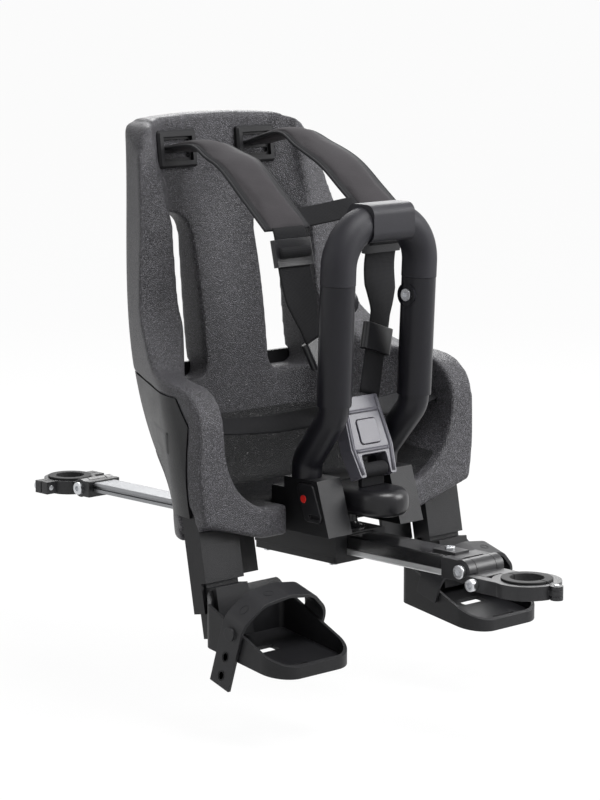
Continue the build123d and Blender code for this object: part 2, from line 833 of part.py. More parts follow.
# Hub: a bridge behind the pommel with a socket for each handle leg, on a stem over the saddle
paddle_plane = Plane(origin=(-hub_half, paddle_y, paddle_z), x_dir=(0, 1, 0), z_dir=(1, 0, 0))
pocket_depth = paddle_thick - paddle_proud + paddle_travel + slide_gap
with BuildPart() as hub:
    with BuildSketch(Plane.XY.offset(hub_bottom)):
        with Locations((0, hub_core_front)):
            Rectangle(2 * hub_half, hub_rear - hub_core_front, align=(Align.CENTER, Align.MIN))
    extrude(amount=hub_top - hub_bottom)
    with BuildSketch(Plane.YZ.offset(-hub_half), Plane.YZ.offset(hub_half - socket_width)):
        with BuildLine():
            Polyline((socket_toe, hub_bottom), (socket_front, socket_top), (socket_rear, socket_top),
                     (socket_rear, hub_bottom), close=True)
        make_face()
    extrude(amount=socket_width)
    with BuildSketch(Plane.XY.offset(saddle_top)):
        with Locations((0, stem_front)):
            Rectangle(2 * stem_half, hub_rear - stem_front, align=(Align.CENTER, Align.MIN))
    extrude(amount=hub_bottom - saddle_top)
    with BuildSketch(paddle_plane, paddle_plane.offset(2 * hub_half - pocket_depth)):
        add(paddle_outline(slide_gap))
    extrude(amount=pocket_depth, mode=Mode.SUBTRACT)
keep(hub.part, "hub")

# Release paddles in the sockets' outer faces, each with a red mark
paddle_face = -hub_half - paddle_proud
mark_y = paddle_y + paddle_length / 2 - mark_r - mark_inset
mark_z = paddle_z + mark_rise
with BuildPart() as release_paddle:
    with BuildSketch(paddle_plane.offset(-paddle_proud)):
        add(paddle_outline(0.0))
    extrude(amount=paddle_thick)
    fillet(release_paddle.faces().sort_by(Axis.X)[0].edges(), paddle_edge_r)
    with BuildSketch(Plane.YZ.offset(paddle_face)):
        with Locations((paddle_y - paddle_lean, paddle_z - paddle_height / 2 + paddle_slot_rise)):
            SlotOverall(paddle_length - 2 * paddle_slot_end, paddle_slot_height)
        with Locations((mark_y, mark_z)):
            Circle(mark_r + pin_gap)
    extrude(amount=mark_depth, mode=Mode.SUBTRACT)
keep_pair(release_paddle.part, "release_paddle")

with BuildPart() as paddle_mark:
    with BuildSketch(Plane.YZ.offset(paddle_face - mark_proud)):
        with Locations((mark_y, mark_z)):
            Circle(mark_r)
    extrude(amount=mark_depth + mark_proud)
    fillet(paddle_mark.edges().group_by(Axis.X)[0], 0.8 * mark_proud)
keep_pair(paddle_mark.part, "paddle_mark")

# Pommel: a soft nose in front of the hub
with BuildPart() as pommel:
    with BuildSketch(Plane.XY.offset(pommel_bottom)):
        with BuildLine():
            nose_y = pommel_tip + pommel_half
            Polyline((-pommel_half, nose_y), (-pommel_half, hub_core_front - seat_gap),
                     (pommel_half, hub_core_front - seat_gap), (pommel_half, nose_y))
            ThreePointArc((-pommel_half, nose_y), (0, pommel_tip), (pommel_half, nose_y))
        make_face()
    extrude(amount=pommel_top - pommel_bottom)
    fillet(pommel.edges().filter_by(GeomType.CIRCLE), pommel_edge_r)
keep(pommel.part, "pommel")


def bucket_outline(rear_y, rear_half, waist_y, waist_half, front_half, inset, rear_r, bend_r):
    """Plan outline of the bucket at one height: straight sides, a bend at the waist, round rear corners."""
    front_y = foam_front - wall_thick
    with BuildSketch() as outline:
        with BuildLine():
            Polyline((front_half - inset, front_y), (waist_half - inset, waist_y),
                     (rear_half - inset, rear_y - inset), (inset - rear_half, rear_y - inset),
                     (inset - waist_half, waist_y), (inset - front_half, front_y), close=True)
        make_face()
        fillet(outline.vertices().group_by(Axis.Y)[1], bend_r)
        fillet(outline.vertices().group_by(Axis.Y)[-1], rear_r)
    return outline.sketch


def bucket_block(inset):
    """The bucket's outer form from under its floor to its crown, drawn in by an inset."""
    foot = bucket_outline(rear_y_foot, rear_half_foot, waist_y_foot, waist_half_foot, front_half_foot,
                          inset, foot_corner_r, waist_r)
    rim = bucket_outline(rear_y_rim, rear_half_rim, waist_y_rim, waist_half_rim, front_half_rim,
                         inset, rim_corner_r, waist_r)
    lumbar = bucket_outline(rear_y_lumbar, rear_half_lumbar, waist_y_lumbar, waist_half_lumbar,
                            front_half_rim, inset, lumbar_corner_r, lumbar_waist_r)
    crown = bucket_outline(rear_y_crown, rear_half_crown, waist_y_crown, waist_half_crown,
                           front_half_rim, inset, crown_edge_r, crown_waist_r)
    with BuildPart() as block:
        add(Plane.XY.offset(floor_z) * foot)
        add(Plane.XY.offset(rim_z) * rim)
        add(Plane.XY.offset(lumbar_z) * lumbar)
        add(Plane.XY.offset(crown_z) * crown)
        loft()
    return block.part


def sitting_space():
    """The room for the child: the bucket's form drawn in by its walls, with a spine and two bolsters."""
    pan = bucket_outline(rear_y_foot - spine_foot_thick, spine_half, waist_y_foot,
                         waist_half_foot - wall_thick - pan_draw,
                         front_half_foot - wall_thick - pan_draw, 0.0, space_corner_r, space_waist_r)
    thigh = bucket_outline(rear_y_foot - spine_foot_thick / 2, spine_half + rim_spread / 2, waist_y_foot,
                           waist_half_foot - wall_thick - thigh_draw,
                           front_half_foot - wall_thick - thigh_draw, 0.0, space_corner_r, space_waist_r)
    rim = bucket_outline(rear_y_rim - spine_thick - spine_foot_thick / 2, spine_half + rim_spread,
                         waist_y_rim,
                         waist_half_rim - wall_thick, front_half_rim - wall_thick, 0.0,
                         space_corner_r, space_waist_r)
    lumbar = bucket_outline(rear_y_lumbar - spine_thick, spine_half,
                            rear_y_lumbar - spine_thick - bolster_depth,
                            spine_half + bolster_spread, front_half_rim - wall_thick, 0.0,
                            lumbar_space_r, lumbar_space_waist_r)
    crown = bucket_outline(rear_y_crown - spine_thick, spine_half + crown_spread,
                           rear_y_crown - spine_thick - crown_bolster_depth,
                           spine_half + bolster_spread, front_half_rim - wall_thick, 0.0,
                           crown_space_r, crown_space_waist_r)
    with BuildPart() as space:
        add(Plane.XY.offset(pan_z) * pan)
        add(Plane.XY.offset(thigh_z) * thigh)
        add(Plane.XY.offset(rim_z) * rim)
        add(Plane.XY.offset(lumbar_z) * lumbar)
        add(Plane.XY.offset(crown_z + 1.0) * crown)
        loft()
    return space.part


leg_plane = Plane(origin=(0, leg_y, seam_z), x_dir=(1, 0, 0),
                  z_dir=(0, sin(radians(leg_tilt)), cos(radians(leg_tilt))))
sleeve_depth = sleeve_rear - sleeve_front
leg_top = leg_recess_z - seat_gap
window_mid = (window_bottom + window_top) / 2

# Foam bucket, trimmed to its side view: a sloped front, a low arm rest and bolsters up to the crown
with BuildPart() as foam_bucket:
    add(bucket_block(0.0))
    add(sitting_space(), mode=Mode.SUBTRACT)
    with BuildSketch(Plane.YZ) as side_view:
        with BuildLine():
            Polyline((foam_front, floor_z), (foam_front + arm_rake, arm_front_z), (arm_knee_y, arm_knee_z),
                     (bolster_foot_y, bolster_foot_z), (bolster_mid_y, lumbar_z),
                     (rear_y_crown - spine_thick - crown_bolster_depth, crown_z),
                     (rear_y_crown + spine_thick, crown_z), (rear_y_crown + spine_thick, floor_z),
                     close=True)
        make_face()
        fillet(side_view.vertices().sort_by_distance((foam_front + arm_rake, arm_front_z))[0], arm_front_r)
        fillet(side_view.vertices().sort_by_distance((arm_knee_y, arm_knee_z))[0], arm_knee_r)
        fillet(side_view.vertices().sort_by_distance((bolster_foot_y, bolster_foot_z))[0], bolster_foot_r)
    extrude(amount=2 * front_half_rim, both=True, mode=Mode.INTERSECT)
    # Arched top of the backrest with round corners
    arch_r = waist_half_crown ** 2 / (2 * crown_arch)
    with BuildSketch(across(rear_y_crown + spine_thick)):
        with Locations((0, crown_z)):
            Rectangle(4 * waist_half_crown, 3 * crown_arch)
        with Locations((0, crown_z - arch_r)):
            Circle(arch_r, mode=Mode.SUBTRACT)
    extrude(amount=3 * bolster_depth, mode=Mode.SUBTRACT)
    corner_z = crown_z - crown_arch - crown_corner_r
    for side in (-1, 1):
        with BuildSketch(across(rear_y_crown + spine_thick)):
            with Locations((side * (waist_half_crown - crown_corner_r), corner_z)):
                Rectangle(4 * crown_corner_r, 4 * crown_corner_r,
                          align=(Align.MIN if side > 0 else Align.MAX, Align.MIN))
                Circle(crown_corner_r, mode=Mode.SUBTRACT)
        extrude(amount=3 * bolster_depth, mode=Mode.SUBTRACT)
    # Two long windows beside the spine
    with BuildSketch(across(rear_y_crown)) as window_view:
        with Locations((-window_x, window_mid), (window_x, window_mid)):
            Rectangle(window_width, window_top - window_bottom)
        fillet(window_view.vertices().group_by(Axis.Y)[-1], window_top_r)
        fillet(window_view.vertices().group_by(Axis.Y)[0], window_foot_r)
    extrude(amount=rear_y_crown - rear_y_foot + spine_thick, mode=Mode.SUBTRACT)
    # Notch for the hub, opening for the pan and steps over the legs
    with BuildSketch(Plane.XY.offset(floor_z)):
        with Locations((0, hub_rear + seat_gap)):
            Rectangle(2 * notch_half, hub_rear - foam_front + wall_thick, align=(Align.CENTER, Align.MAX))
        with Locations((0, (pan_front + pan_rear) / 2)):
            RectangleRounded(2 * pan_half, pan_rear - pan_front, pan_corner_r)
    extrude(amount=2 * (pan_z - floor_z), mode=Mode.SUBTRACT)
    with BuildSketch(Plane.XY.offset(floor_z)):
        with Locations((-leg_recess_x, apron_rear)):
            Rectangle(front_half_rim, leg_recess_rear - apron_rear, align=(Align.MAX, Align.MIN))
        with Locations((leg_recess_x, apron_rear)):
            Rectangle(front_half_rim, leg_recess_rear - apron_rear, align=(Align.MIN, Align.MIN))
    extrude(amount=leg_recess_z - floor_z, mode=Mode.SUBTRACT)
    with BuildSketch(across(apron_rear)):
        for side in (-1, 1):
            with BuildLine():
                Polyline((side * apron_x, floor_z), (side * front_half_rim, floor_z + apron_rise),
                         (side * front_half_rim, floor_z), close=True)
            make_face()
    extrude(amount=wall_thick, mode=Mode.SUBTRACT)


def panel_trim(grow):
    """Side view of the carrier's panels, grown by a clearance."""
    with BuildPart() as trim:
        with BuildSketch(Plane.YZ):
            with BuildLine():
                Polyline((panel_front - grow, panel_low_front - grow),
                         (panel_front - grow, panel_top_front + grow),
                         (panel_front + panel_shoulder - grow, panel_top_mid + grow),
                         (rear_y_crown, panel_top_rear + grow), (rear_y_crown, panel_back_low - grow),
                         (panel_low_y, panel_low_rear - grow),
                         (panel_front + panel_toe, panel_low_front - grow), close=True)
            make_face()
        extrude(amount=2 * front_half_rim, both=True)
    return trim.part


# Ledge in the foam that takes the carrier's panels, and slots for its leg flanges
with BuildPart() as panel_room:
    add(panel_trim(seat_gap))
    add(bucket_block(panel_reveal + panel_thick + seat_gap), mode=Mode.SUBTRACT)
with BuildPart() as flange_room:
    with BuildSketch(leg_plane):
        for side in (-1, 1):
            with Locations((side * (sleeve_outer - sleeve_wall - seat_gap), sleeve_front - seat_gap)):
                Rectangle(4 * sleeve_wall, sleeve_depth + 2 * seat_gap,
                          align=(Align.MIN if side > 0 else Align.MAX, Align.MIN))
    extrude(amount=flange_top_z + seat_gap)

# Carrier: panels round the bucket, a floor on the saddle and a sleeve for each leg
with BuildPart() as leg_flange:
    with BuildSketch(leg_plane):
        with Locations((-sleeve_outer, sleeve_front)):
            Rectangle(sleeve_wall, sleeve_depth, align=(Align.MIN, Align.MIN))
    extrude(amount=flange_top_z)
    add(bucket_block(panel_reveal), mode=Mode.INTERSECT)
with BuildPart() as leg_sleeve:
    with BuildSketch(leg_plane):
        with Locations((-sleeve_outer, sleeve_front)):
            Rectangle(sleeve_outer - sleeve_inner, sleeve_depth, align=(Align.MIN, Align.MIN))
        with Locations((-sleeve_outer + sleeve_wall, sleeve_front + sleeve_wall)):
            Rectangle(sleeve_outer - sleeve_inner - 2 * sleeve_wall, sleeve_depth - 2 * sleeve_wall,
                      align=(Align.MIN, Align.MIN), mode=Mode.SUBTRACT)
        with Locations((-sleeve_inner, web_front)):
            Rectangle(sleeve_inner - web_inner, sleeve_wall, align=(Align.MIN, Align.MIN))
    extrude(amount=flange_top_z)
    with BuildSketch(leg_plane):
        with Locations((-sleeve_outer, skirt_front)):
            Rectangle(sleeve_wall, sleeve_rear - skirt_front, align=(Align.MIN, Align.MIN))
        with Locations((-sleeve_outer, sleeve_rear - sleeve_wall)):
            Rectangle(sleeve_outer - sleeve_inner, sleeve_wall, align=(Align.MIN, Align.MIN))
    extrude(amount=-skirt_length)
    with BuildSketch(Plane.XY.offset(leg_top)):
        with Locations((-sleeve_outer - sleeve_wall, leg_y)):
            Rectangle(sleeve_outer, 4 * sleeve_depth, align=(Align.MIN, Align.CENTER))
    extrude(amount=2 * flange_top_z, mode=Mode.SUBTRACT)
    with BuildSketch(Plane.XY.offset(leg_top - sleeve_wall)):
        with Locations((-sleeve_outer, sleeve_top_front)):
            Rectangle(sleeve_outer - web_inner, sleeve_top_depth, align=(Align.MIN, Align.MIN))
    extrude(amount=sleeve_wall)
    add(leg_flange.part)
    with BuildSketch(Plane(leg_plane.from_local_coords((-latch_x, 0, latch_z)), x_dir=(1, 0, 0),
                           z_dir=leg_plane.y_dir)):
        Rectangle(latch_stem_width + 2 * slide_gap, latch_stem_height + 2 * slide_gap)
    extrude(amount=2 * sleeve_rear, mode=Mode.SUBTRACT)

with BuildPart() as carrier:
    add(panel_trim(0.0))
    add(bucket_block(panel_reveal), mode=Mode.INTERSECT)
    add(bucket_block(panel_reveal + panel_thick), mode=Mode.SUBTRACT)
    add(leg_sleeve.part)
    mirror(leg_sleeve.part, about=Plane.YZ)
    with BuildSketch(Plane.XY.offset(saddle_top)):
        with Locations((0, hub_rear + seat_gap)):
            Rectangle(2 * floor_half, floor_rear - hub_rear, align=(Align.CENTER, Align.MIN))
    extrude(amount=floor_thick)
keep(carrier.part, "carrier")

# Seat pan: a smooth plate that fills the opening in the foam
with BuildPart() as seat_pan:
    with BuildSketch(Plane.XY.offset(saddle_top + floor_thick)):
        with Locations((0, (pan_front + pan_rear) / 2)):
            RectangleRounded(2 * (pan_half - seat_gap), pan_rear - pan_front - 2 * seat_gap,
                             pan_corner_r - seat_gap)
    extrude(amount=pan_z - pan_drop - saddle_top - floor_thick)
    fillet(seat_pan.faces().sort_by(Axis.Z)[-1].edges(), pan_edge_r)
keep(seat_pan.part, "seat_pan")

# Foot cup: a shelled tray with a rising heel, on an upright that slides in its leg
with BuildPart() as footrest:
    with BuildSketch(Plane.XY.offset(toe_bottom - cup_half)) as cup_plan:
        with Locations((-foot_x, toe_y)):
            Rectangle(2 * cup_half, heel_y - toe_y, align=(Align.CENTER, Align.MIN))
        fillet(cup_plan.vertices().group_by(Axis.Y)[0], toe_corner_r)
        fillet(cup_plan.vertices().group_by(Axis.Y)[-1], heel_corner_r)
    extrude(amount=heel_top - toe_bottom + 2 * cup_half)
    with BuildSketch(Plane.YZ.offset(-foot_x - 2 * cup_half)):
        with BuildLine():
            Polyline((toe_y, toe_bottom), (toe_y, toe_top), (heel_y - heel_bend, cup_side_top),
                     (heel_y, heel_top), (heel_y, heel_bottom), close=True)
        make_face()
    extrude(amount=4 * cup_half, mode=Mode.INTERSECT)
    cup_mouth = [face for face in footrest.faces() if face.normal_at().Z > 0.3]
    offset(amount=-cup_wall, openings=cup_mouth)
    # Drain slots in the sole
    with BuildSketch(Plane.XY.offset(toe_bottom - cup_half)):
        with Locations((-drain_x, drain_y - drain_pitch / 2), (-drain_x, drain_y + drain_pitch / 2)):
            RectangleRounded(drain_length, drain_width, drain_corner_r)
    extrude(amount=cup_half + heel_bottom - toe_bottom, mode=Mode.SUBTRACT)
    # Upright and the block that joins it to the heel
    with BuildSketch(leg_plane.offset(upright_bottom)):
        with Locations((-sleeve_outer + sleeve_wall + slide_gap, sleeve_front + sleeve_wall + slide_gap)):
            Rectangle(sleeve_outer - sleeve_inner - 2 * (sleeve_wall + slide_gap),
                      sleeve_depth - 2 * (sleeve_wall + slide_gap), align=(Align.MIN, Align.MIN))
    extrude(amount=upright_top - upright_bottom)
    with BuildSketch(leg_plane.offset(upright_bottom)):
        with Locations((-sleeve_outer + sleeve_wall + slide_gap, bridge_front)):
            Rectangle(sleeve_outer - sleeve_inner - 2 * (sleeve_wall + slide_gap),
                      sleeve_front - bridge_front + 2 * sleeve_wall, align=(Align.MIN, Align.MIN))
    extrude(amount=bridge_top - upright_bottom)
keep_pair(footrest.part, "footrest")

# Foot strap: a rubber arch over the cup with a stud on its outer side
strap_plane = Plane(origin=(-foot_x, strap_y, strap_spring_z), x_dir=(1, 0, 0),
                    z_dir=(0, -cos(radians(strap_lean)), -sin(radians(strap_lean))))
strap_r = cup_half + slide_gap + strap_thick / 2
with BuildPart() as foot_strap:
    with BuildSketch(strap_plane.offset(-strap_width / 2)):
        with BuildLine(mode=Mode.PRIVATE) as strap_path:
            FilletPolyline((-strap_r, -strap_tail), (-strap_r, strap_haunch),
                           (-0.6 * strap_r, strap_shoulder), (0, strap_crest),
                           (0.6 * strap_r, strap_shoulder), (strap_r, strap_haunch),
                           (strap_r, -strap_inner_end), radius=strap_bend_r)
        trace(strap_path.line, line_width=strap_thick)
    extrude(amount=strap_width)
    stud_at = strap_plane.from_local_coords((-strap_r - strap_thick / 2, -strap_stud_drop, 0))
    with BuildSketch(Plane(stud_at, z_dir=(-1, 0, 0))):
        Circle(strap_stud_r)
    extrude(amount=strap_stud_thick)
keep_pair(foot_strap.part, "foot_strap")

# Leg latch: a sprung tab behind each sleeve
latch_face = Plane(leg_plane.from_local_coords((-latch_x, sleeve_rear + slide_gap + latch_travel, latch_z)),
                   x_dir=(1, 0, 0), z_dir=leg_plane.y_dir)
with BuildPart() as leg_latch:
    with BuildSketch(latch_face):
        RectangleRounded(latch_width, latch_height, latch_corner_r)
    extrude(amount=latch_thick)
    fillet(leg_latch.faces().sort_by(Axis.Y)[-1].edges(), latch_edge_r)
    with BuildSketch(latch_face):
        Rectangle(latch_stem_width, latch_stem_height)
    extrude(amount=-(slide_gap + latch_travel + latch_engage))
keep_pair(leg_latch.part, "leg_latch")


def on_leg(z):
    """Point on the axis of the handle's right leg at a height."""
    share = (z - handle_bend[2]) / (handle_corner[2] - handle_bend[2])
    x = handle_bend[0] + share * (handle_corner[0] - handle_bend[0])
    y = handle_bend[1] + share * (handle_corner[1] - handle_bend[1])
    return Vector(-x, y, z)


# Handle legs: bent tubes on the sockets with a thicker sleeve up to the grip
right_end = Vector(-handle_end[0], handle_end[1], handle_end[2])
right_knee = Vector(-handle_knee[0], handle_knee[1], handle_knee[2])
right_bend = Vector(-handle_bend[0], handle_bend[1], handle_bend[2])
right_corner = Vector(-handle_corner[0], handle_corner[1], handle_corner[2])
leg_axis = (right_corner - right_bend).normalized()
leg_seam = on_leg(handle_seam_z)
screw_at = on_leg(handle_screw_z)
screw_face = screw_at.X + handle_sleeve_r + handle_screw_proud
with BuildPart() as handle_leg:
    with BuildLine(mode=Mode.PRIVATE) as leg_path:
        FilletPolyline(right_end, right_knee, right_bend, leg_seam, radius=handle_bend_r)
    with BuildSketch(Plane(origin=right_end, z_dir=right_knee - right_end)):
        Circle(handle_tube_r)
    sweep(path=leg_path.line)
    with BuildSketch(Plane(origin=on_leg(handle_step_z), z_dir=leg_axis)):
        Circle(handle_sleeve_r)
    extrude(amount=(leg_seam - on_leg(handle_step_z)).length)
    split(bisect_by=Plane.XY.offset(socket_top), keep=Keep.TOP)
    with BuildSketch(Plane.YZ.offset(screw_face)):
        with Locations((screw_at.Y, screw_at.Z)):
            Circle(handle_screw_r + pin_gap)
    extrude(amount=-handle_screw_depth - handle_screw_proud, mode=Mode.SUBTRACT)
keep_pair(handle_leg.part, "handle_leg")

with BuildPart() as handle_screw:
    with BuildSketch(Plane.YZ.offset(screw_face)):
        with Locations((screw_at.Y, screw_at.Z)):
            Circle(handle_screw_r)
            RegularPolygon(handle_screw_r / 2, 6, mode=Mode.SUBTRACT)
    extrude(amount=-handle_drive_depth)
    with BuildSketch(Plane.YZ.offset(screw_face - handle_drive_depth)):
        with Locations((screw_at.Y, screw_at.Z)):
            Circle(handle_screw_r)
    extrude(amount=-handle_screw_depth - handle_screw_proud + handle_drive_depth)
keep_pair(handle_screw.part, "handle_screw")

# Handle grip: a rubber bow with a flat plate on its middle
grip_start = leg_seam + leg_axis * seat_gap
with BuildPart() as handle_grip:
    with BuildLine(mode=Mode.PRIVATE) as grip_path:
        FilletPolyline(grip_start, right_corner, Vector(-right_corner.X, right_corner.Y, right_corner.Z),
                       Vector(-grip_start.X, grip_start.Y, grip_start.Z), radius=grip_bend_r)
    with BuildSketch(Plane(origin=grip_start, z_dir=leg_axis)):
        Circle(grip_r)
    sweep(path=grip_path.line)
    with BuildSketch(Plane.YZ.offset(-plate_half)):
        with Locations((right_corner.Y, right_corner.Z)):
            RectangleRounded(plate_depth, plate_height, plate_corner_r)
    extrude(amount=2 * plate_half)
keep(handle_grip.part, "handle_grip")


def square_to(direction, run):
    """The part of a direction that is square to a run, as a unit vector."""
    direction = Vector(direction)
    run = Vector(run).normalized()
    return (direction - run * direction.dot(run)).normalized()


def ribbon(points, width, thick, width_dir, grow=0.0):
    """Flat strap of straight runs through the points, its width along a given direction."""
    points = [Vector(point) for point in points]
    with BuildPart() as strap:
        for start, end in zip(points, points[1:]):
            run = end - start
            start_plane = Plane(origin=start, x_dir=square_to(width_dir, run), z_dir=run)
            with BuildSketch(start_plane.offset(-grow)):
                Rectangle(width + 2 * grow, thick + 2 * grow)
            extrude(amount=run.length + 2 * grow)
            if end is not points[-1]:
                with BuildSketch(Plane(origin=end - square_to(width_dir, run) * (width / 2 + grow),
                                       z_dir=square_to(width_dir, run))):
                    Circle(thick / 2 + grow)
                extrude(amount=width + 2 * grow)
    return strap.part


# Harness frames let into the backrest
spine_slope = (rear_y_crown - rear_y_lumbar) / (crown_z - lumbar_z)
frame_y = rear_y_lumbar - spine_thick + spine_slope * (frame_z - lumbar_z)
frame_plane = Plane(origin=(-strap_x, frame_y - frame_proud, frame_z), x_dir=(1, 0, 0),
                    z_dir=(0, 1, -spine_slope))
frame_slot_y = frame_height / 2 - frame_border - frame_slot_height
with BuildPart() as strap_frame:
    with BuildSketch(frame_plane):
        RectangleRounded(frame_width, frame_height, frame_corner_r)
    extrude(amount=frame_thick)
    chamfer(strap_frame.faces().sort_by(Axis.Y)[0].edges(), frame_proud)
    with BuildSketch(frame_plane):
        Rectangle(frame_width - 2 * frame_border, frame_height - 2 * frame_border)
    extrude(amount=frame_thick - frame_back, mode=Mode.SUBTRACT)
    with BuildSketch(frame_plane.offset(frame_thick - frame_back)):
        with Locations((0, frame_slot_y), (0, -frame_slot_y)):
            SlotOverall(frame_width - 2.5 * frame_border, frame_slot_height)
    extrude(amount=frame_back, mode=Mode.SUBTRACT)
keep_pair(strap_frame.part, "strap_frame")
with BuildPart() as frame_room:
    with BuildSketch(frame_plane):
        RectangleRounded(frame_width + 2 * seat_gap, frame_height + 2 * seat_gap,
                         frame_corner_r + seat_gap)
    extrude(amount=frame_thick + seat_gap)
    mirror(about=Plane.YZ)


def shoulder_pad(side, bend_1, bend_2, end, name):
    """Padded shoulder strap that leaves its frame, arches forward and widens to its end."""
    start = (frame_y + frame_thick, frame_z)
    narrow_right = side * strap_x - pad_start_half
    narrow_left = side * strap_x + pad_start_half
    wide_right = side * strap_x - pad_end_half
    wide_left = side * strap_x + pad_end_half
    tip = end[0] - pad_thick
    with BuildPart() as pad:
        with BuildSketch(Plane.YZ.offset(wide_right)):
            with BuildLine(mode=Mode.PRIVATE) as path:
                FilletPolyline(start, bend_1, bend_2, end, radius=pad_bend_r)
            trace(path.line, line_width=pad_thick)
        extrude(amount=2 * pad_end_half)
        with BuildSketch(Plane.XY.offset(rim_z)):
            with BuildLine():
                Polyline((narrow_right, start[0] + pad_thick), (narrow_left, start[0] + pad_thick),
                         (wide_left, bend_2[0]), (wide_left, tip), (wide_right, tip),
                         (wide_right, bend_2[0]), close=True)
            make_face()
        extrude(amount=crown_z, mode=Mode.INTERSECT)
        split(bisect_by=frame_plane.offset(frame_thick - frame_back - seat_gap), keep=Keep.BOTTOM)
    keep(pad.part, name)


shoulder_pad(-1, right_pad_bend_1, right_pad_bend_2, right_pad_end, "shoulder_pad_right")
shoulder_pad(1, left_pad_bend_1, left_pad_bend_2, left_pad_end, "shoulder_pad_left")

# Buckle: a shield with a sprung button, and two arms that hold a bar for the crotch strap
buckle_plane = Plane(origin=(0, buckle_y, buckle_z), x_dir=(1, 0, 0),
                     z_dir=(0, -cos(radians(buckle_lean)), sin(radians(buckle_lean))))
button_pocket = button_thick - button_proud + button_travel + slide_gap
with BuildPart() as buckle_body:
    with BuildSketch(buckle_plane.offset(-buckle_thick / 2)):
        with BuildLine():
            Polyline((-buckle_top_half, buckle_top), (buckle_top_half, buckle_top),
                     (buckle_half, buckle_shoulder), (buckle_foot_half, buckle_foot),
                     (buckle_mouth_half, buckle_foot),
                     (buckle_mouth_half, buckle_mouth_top), (-buckle_mouth_half, buckle_mouth_top),
                     (-buckle_mouth_half, buckle_foot), (-buckle_foot_half, buckle_foot),
                     (-buckle_half, buckle_shoulder), close=True)
        make_face()
    extrude(amount=buckle_thick)
    fillet(buckle_body.edges().filter_by(Axis((0, 0, 0), buckle_plane.z_dir)), buckle_edge_r)
    bar_end = buckle_plane.from_local_coords((-buckle_mouth_half - buckle_edge_r, buckle_bar_y, 0))
    with BuildSketch(Plane(origin=bar_end, z_dir=(1, 0, 0))):
        Circle(buckle_bar_r)
    extrude(amount=2 * (buckle_mouth_half + buckle_edge_r))
    with BuildSketch(buckle_plane.offset(buckle_thick / 2)):
        with Locations((0, button_y)):
            RectangleRounded(button_width + 2 * slide_gap, button_height + 2 * slide_gap,
                             button_corner_r + slide_gap)
    extrude(amount=-button_pocket, mode=Mode.SUBTRACT)
keep(buckle_body.part, "buckle_body")

with BuildPart() as buckle_button:
    with BuildSketch(buckle_plane.offset(buckle_thick / 2 + button_proud)):
        with Locations((0, button_y)):
            RectangleRounded(button_width, button_height, button_corner_r)
    extrude(amount=-button_thick)
keep(buckle_button.part, "buckle_button")

# Crotch strap: a loop round the buckle's bar with a short tail into the pommel
bar_at = buckle_plane.from_local_coords((0, buckle_bar_y, 0))
loop_r = buckle_bar_r + seat_gap + webbing_thick
with BuildPart() as crotch_strap:
    with BuildSketch(Plane(origin=(-crotch_width / 2, bar_at.Y, bar_at.Z), x_dir=(0, 1, 0),
                           z_dir=(1, 0, 0))):
        Circle(loop_r)
        with Locations((webbing_thick / 2, pommel_top + seat_gap - bar_at.Z)):
            Rectangle(2 * webbing_thick, bar_at.Z - pommel_top - seat_gap, align=(Align.CENTER, Align.MIN))
        Circle(buckle_bar_r + seat_gap, mode=Mode.SUBTRACT)
    extrude(amount=crotch_width)
keep(crotch_strap.part, "crotch_strap")


def shoulder_strap(side, pad_bend, pad_end, drop, adjust, name):
    """Webbing from a pad's end down to the buckle, with a slider and an adjuster on it."""
    pad_tip = Vector(side * strap_x, pad_end[0], pad_end[1])
    pad_run = (pad_tip - Vector(side * strap_x, pad_bend[0], pad_bend[1])).normalized()
    top = pad_tip + pad_run * (seat_gap + webbing_thick / 2)
    low = buckle_plane.from_local_coords((side * buckle_strap_x, buckle_top - lower_strap_width / 2, 0))
    foot_at = buckle_plane.from_local_coords((0, buckle_top + seat_gap, 0))
    strap_foot = Plane(origin=foot_at, z_dir=buckle_plane.y_dir)
    with BuildPart() as webbing:
        add(ribbon([adjust, low], lower_strap_width, webbing_thick, (1, 0, 0)))
        split(bisect_by=strap_foot, keep=Keep.TOP)
        add(ribbon([top, drop, adjust], webbing_width, webbing_thick, (1, 0, 0)))
    keep(webbing.part, f"shoulder_strap_{name}")
    for piece, start, end, along, width, height, thick, room in (
            ("slider", top, Vector(drop), slider_along, slider_width, slider_height, slider_thick,
             webbing_width),
            ("adjuster", Vector(adjust), low, adjuster_along, adjuster_width, adjuster_height,
             adjuster_thick, lower_strap_width)):
        run = end - start
        middle = Plane(origin=start + run * along, x_dir=square_to((1, 0, 0), run), z_dir=run)
        with BuildPart() as glide:
            with BuildSketch(middle.offset(-height / 2)):
                RectangleRounded(width, thick, thick / 2 - seat_gap)
                Rectangle(room + 2 * seat_gap, webbing_thick + 2 * seat_gap, mode=Mode.SUBTRACT)
            extrude(amount=height)
        keep(glide.part, f"{piece}_{name}")


shoulder_strap(-1, right_pad_bend_2, right_pad_end, right_strap_drop, right_strap_adjust, "right")
shoulder_strap(1, left_pad_bend_2, left_pad_end, left_strap_drop, left_strap_adjust, "left")

# Waist belts from the buckle's sides into the bucket walls
belt_points = [Vector(-belt_start[0], belt_start[1], belt_start[2]),
               Vector(-belt_mid[0], belt_mid[1], belt_mid[2]),
               Vector(-belt_end[0], belt_end[1], belt_end[2])]
with BuildPart() as waist_belt:
    add(ribbon(belt_points, belt_width, webbing_thick, belt_lie))
    split(bisect_by=Plane.YZ.offset(-buckle_half - seat_gap), keep=Keep.BOTTOM)
keep_pair(waist_belt.part, "waist_belt")
belt_room = ribbon(belt_points, belt_width, webbing_thick, belt_lie, seat_gap)

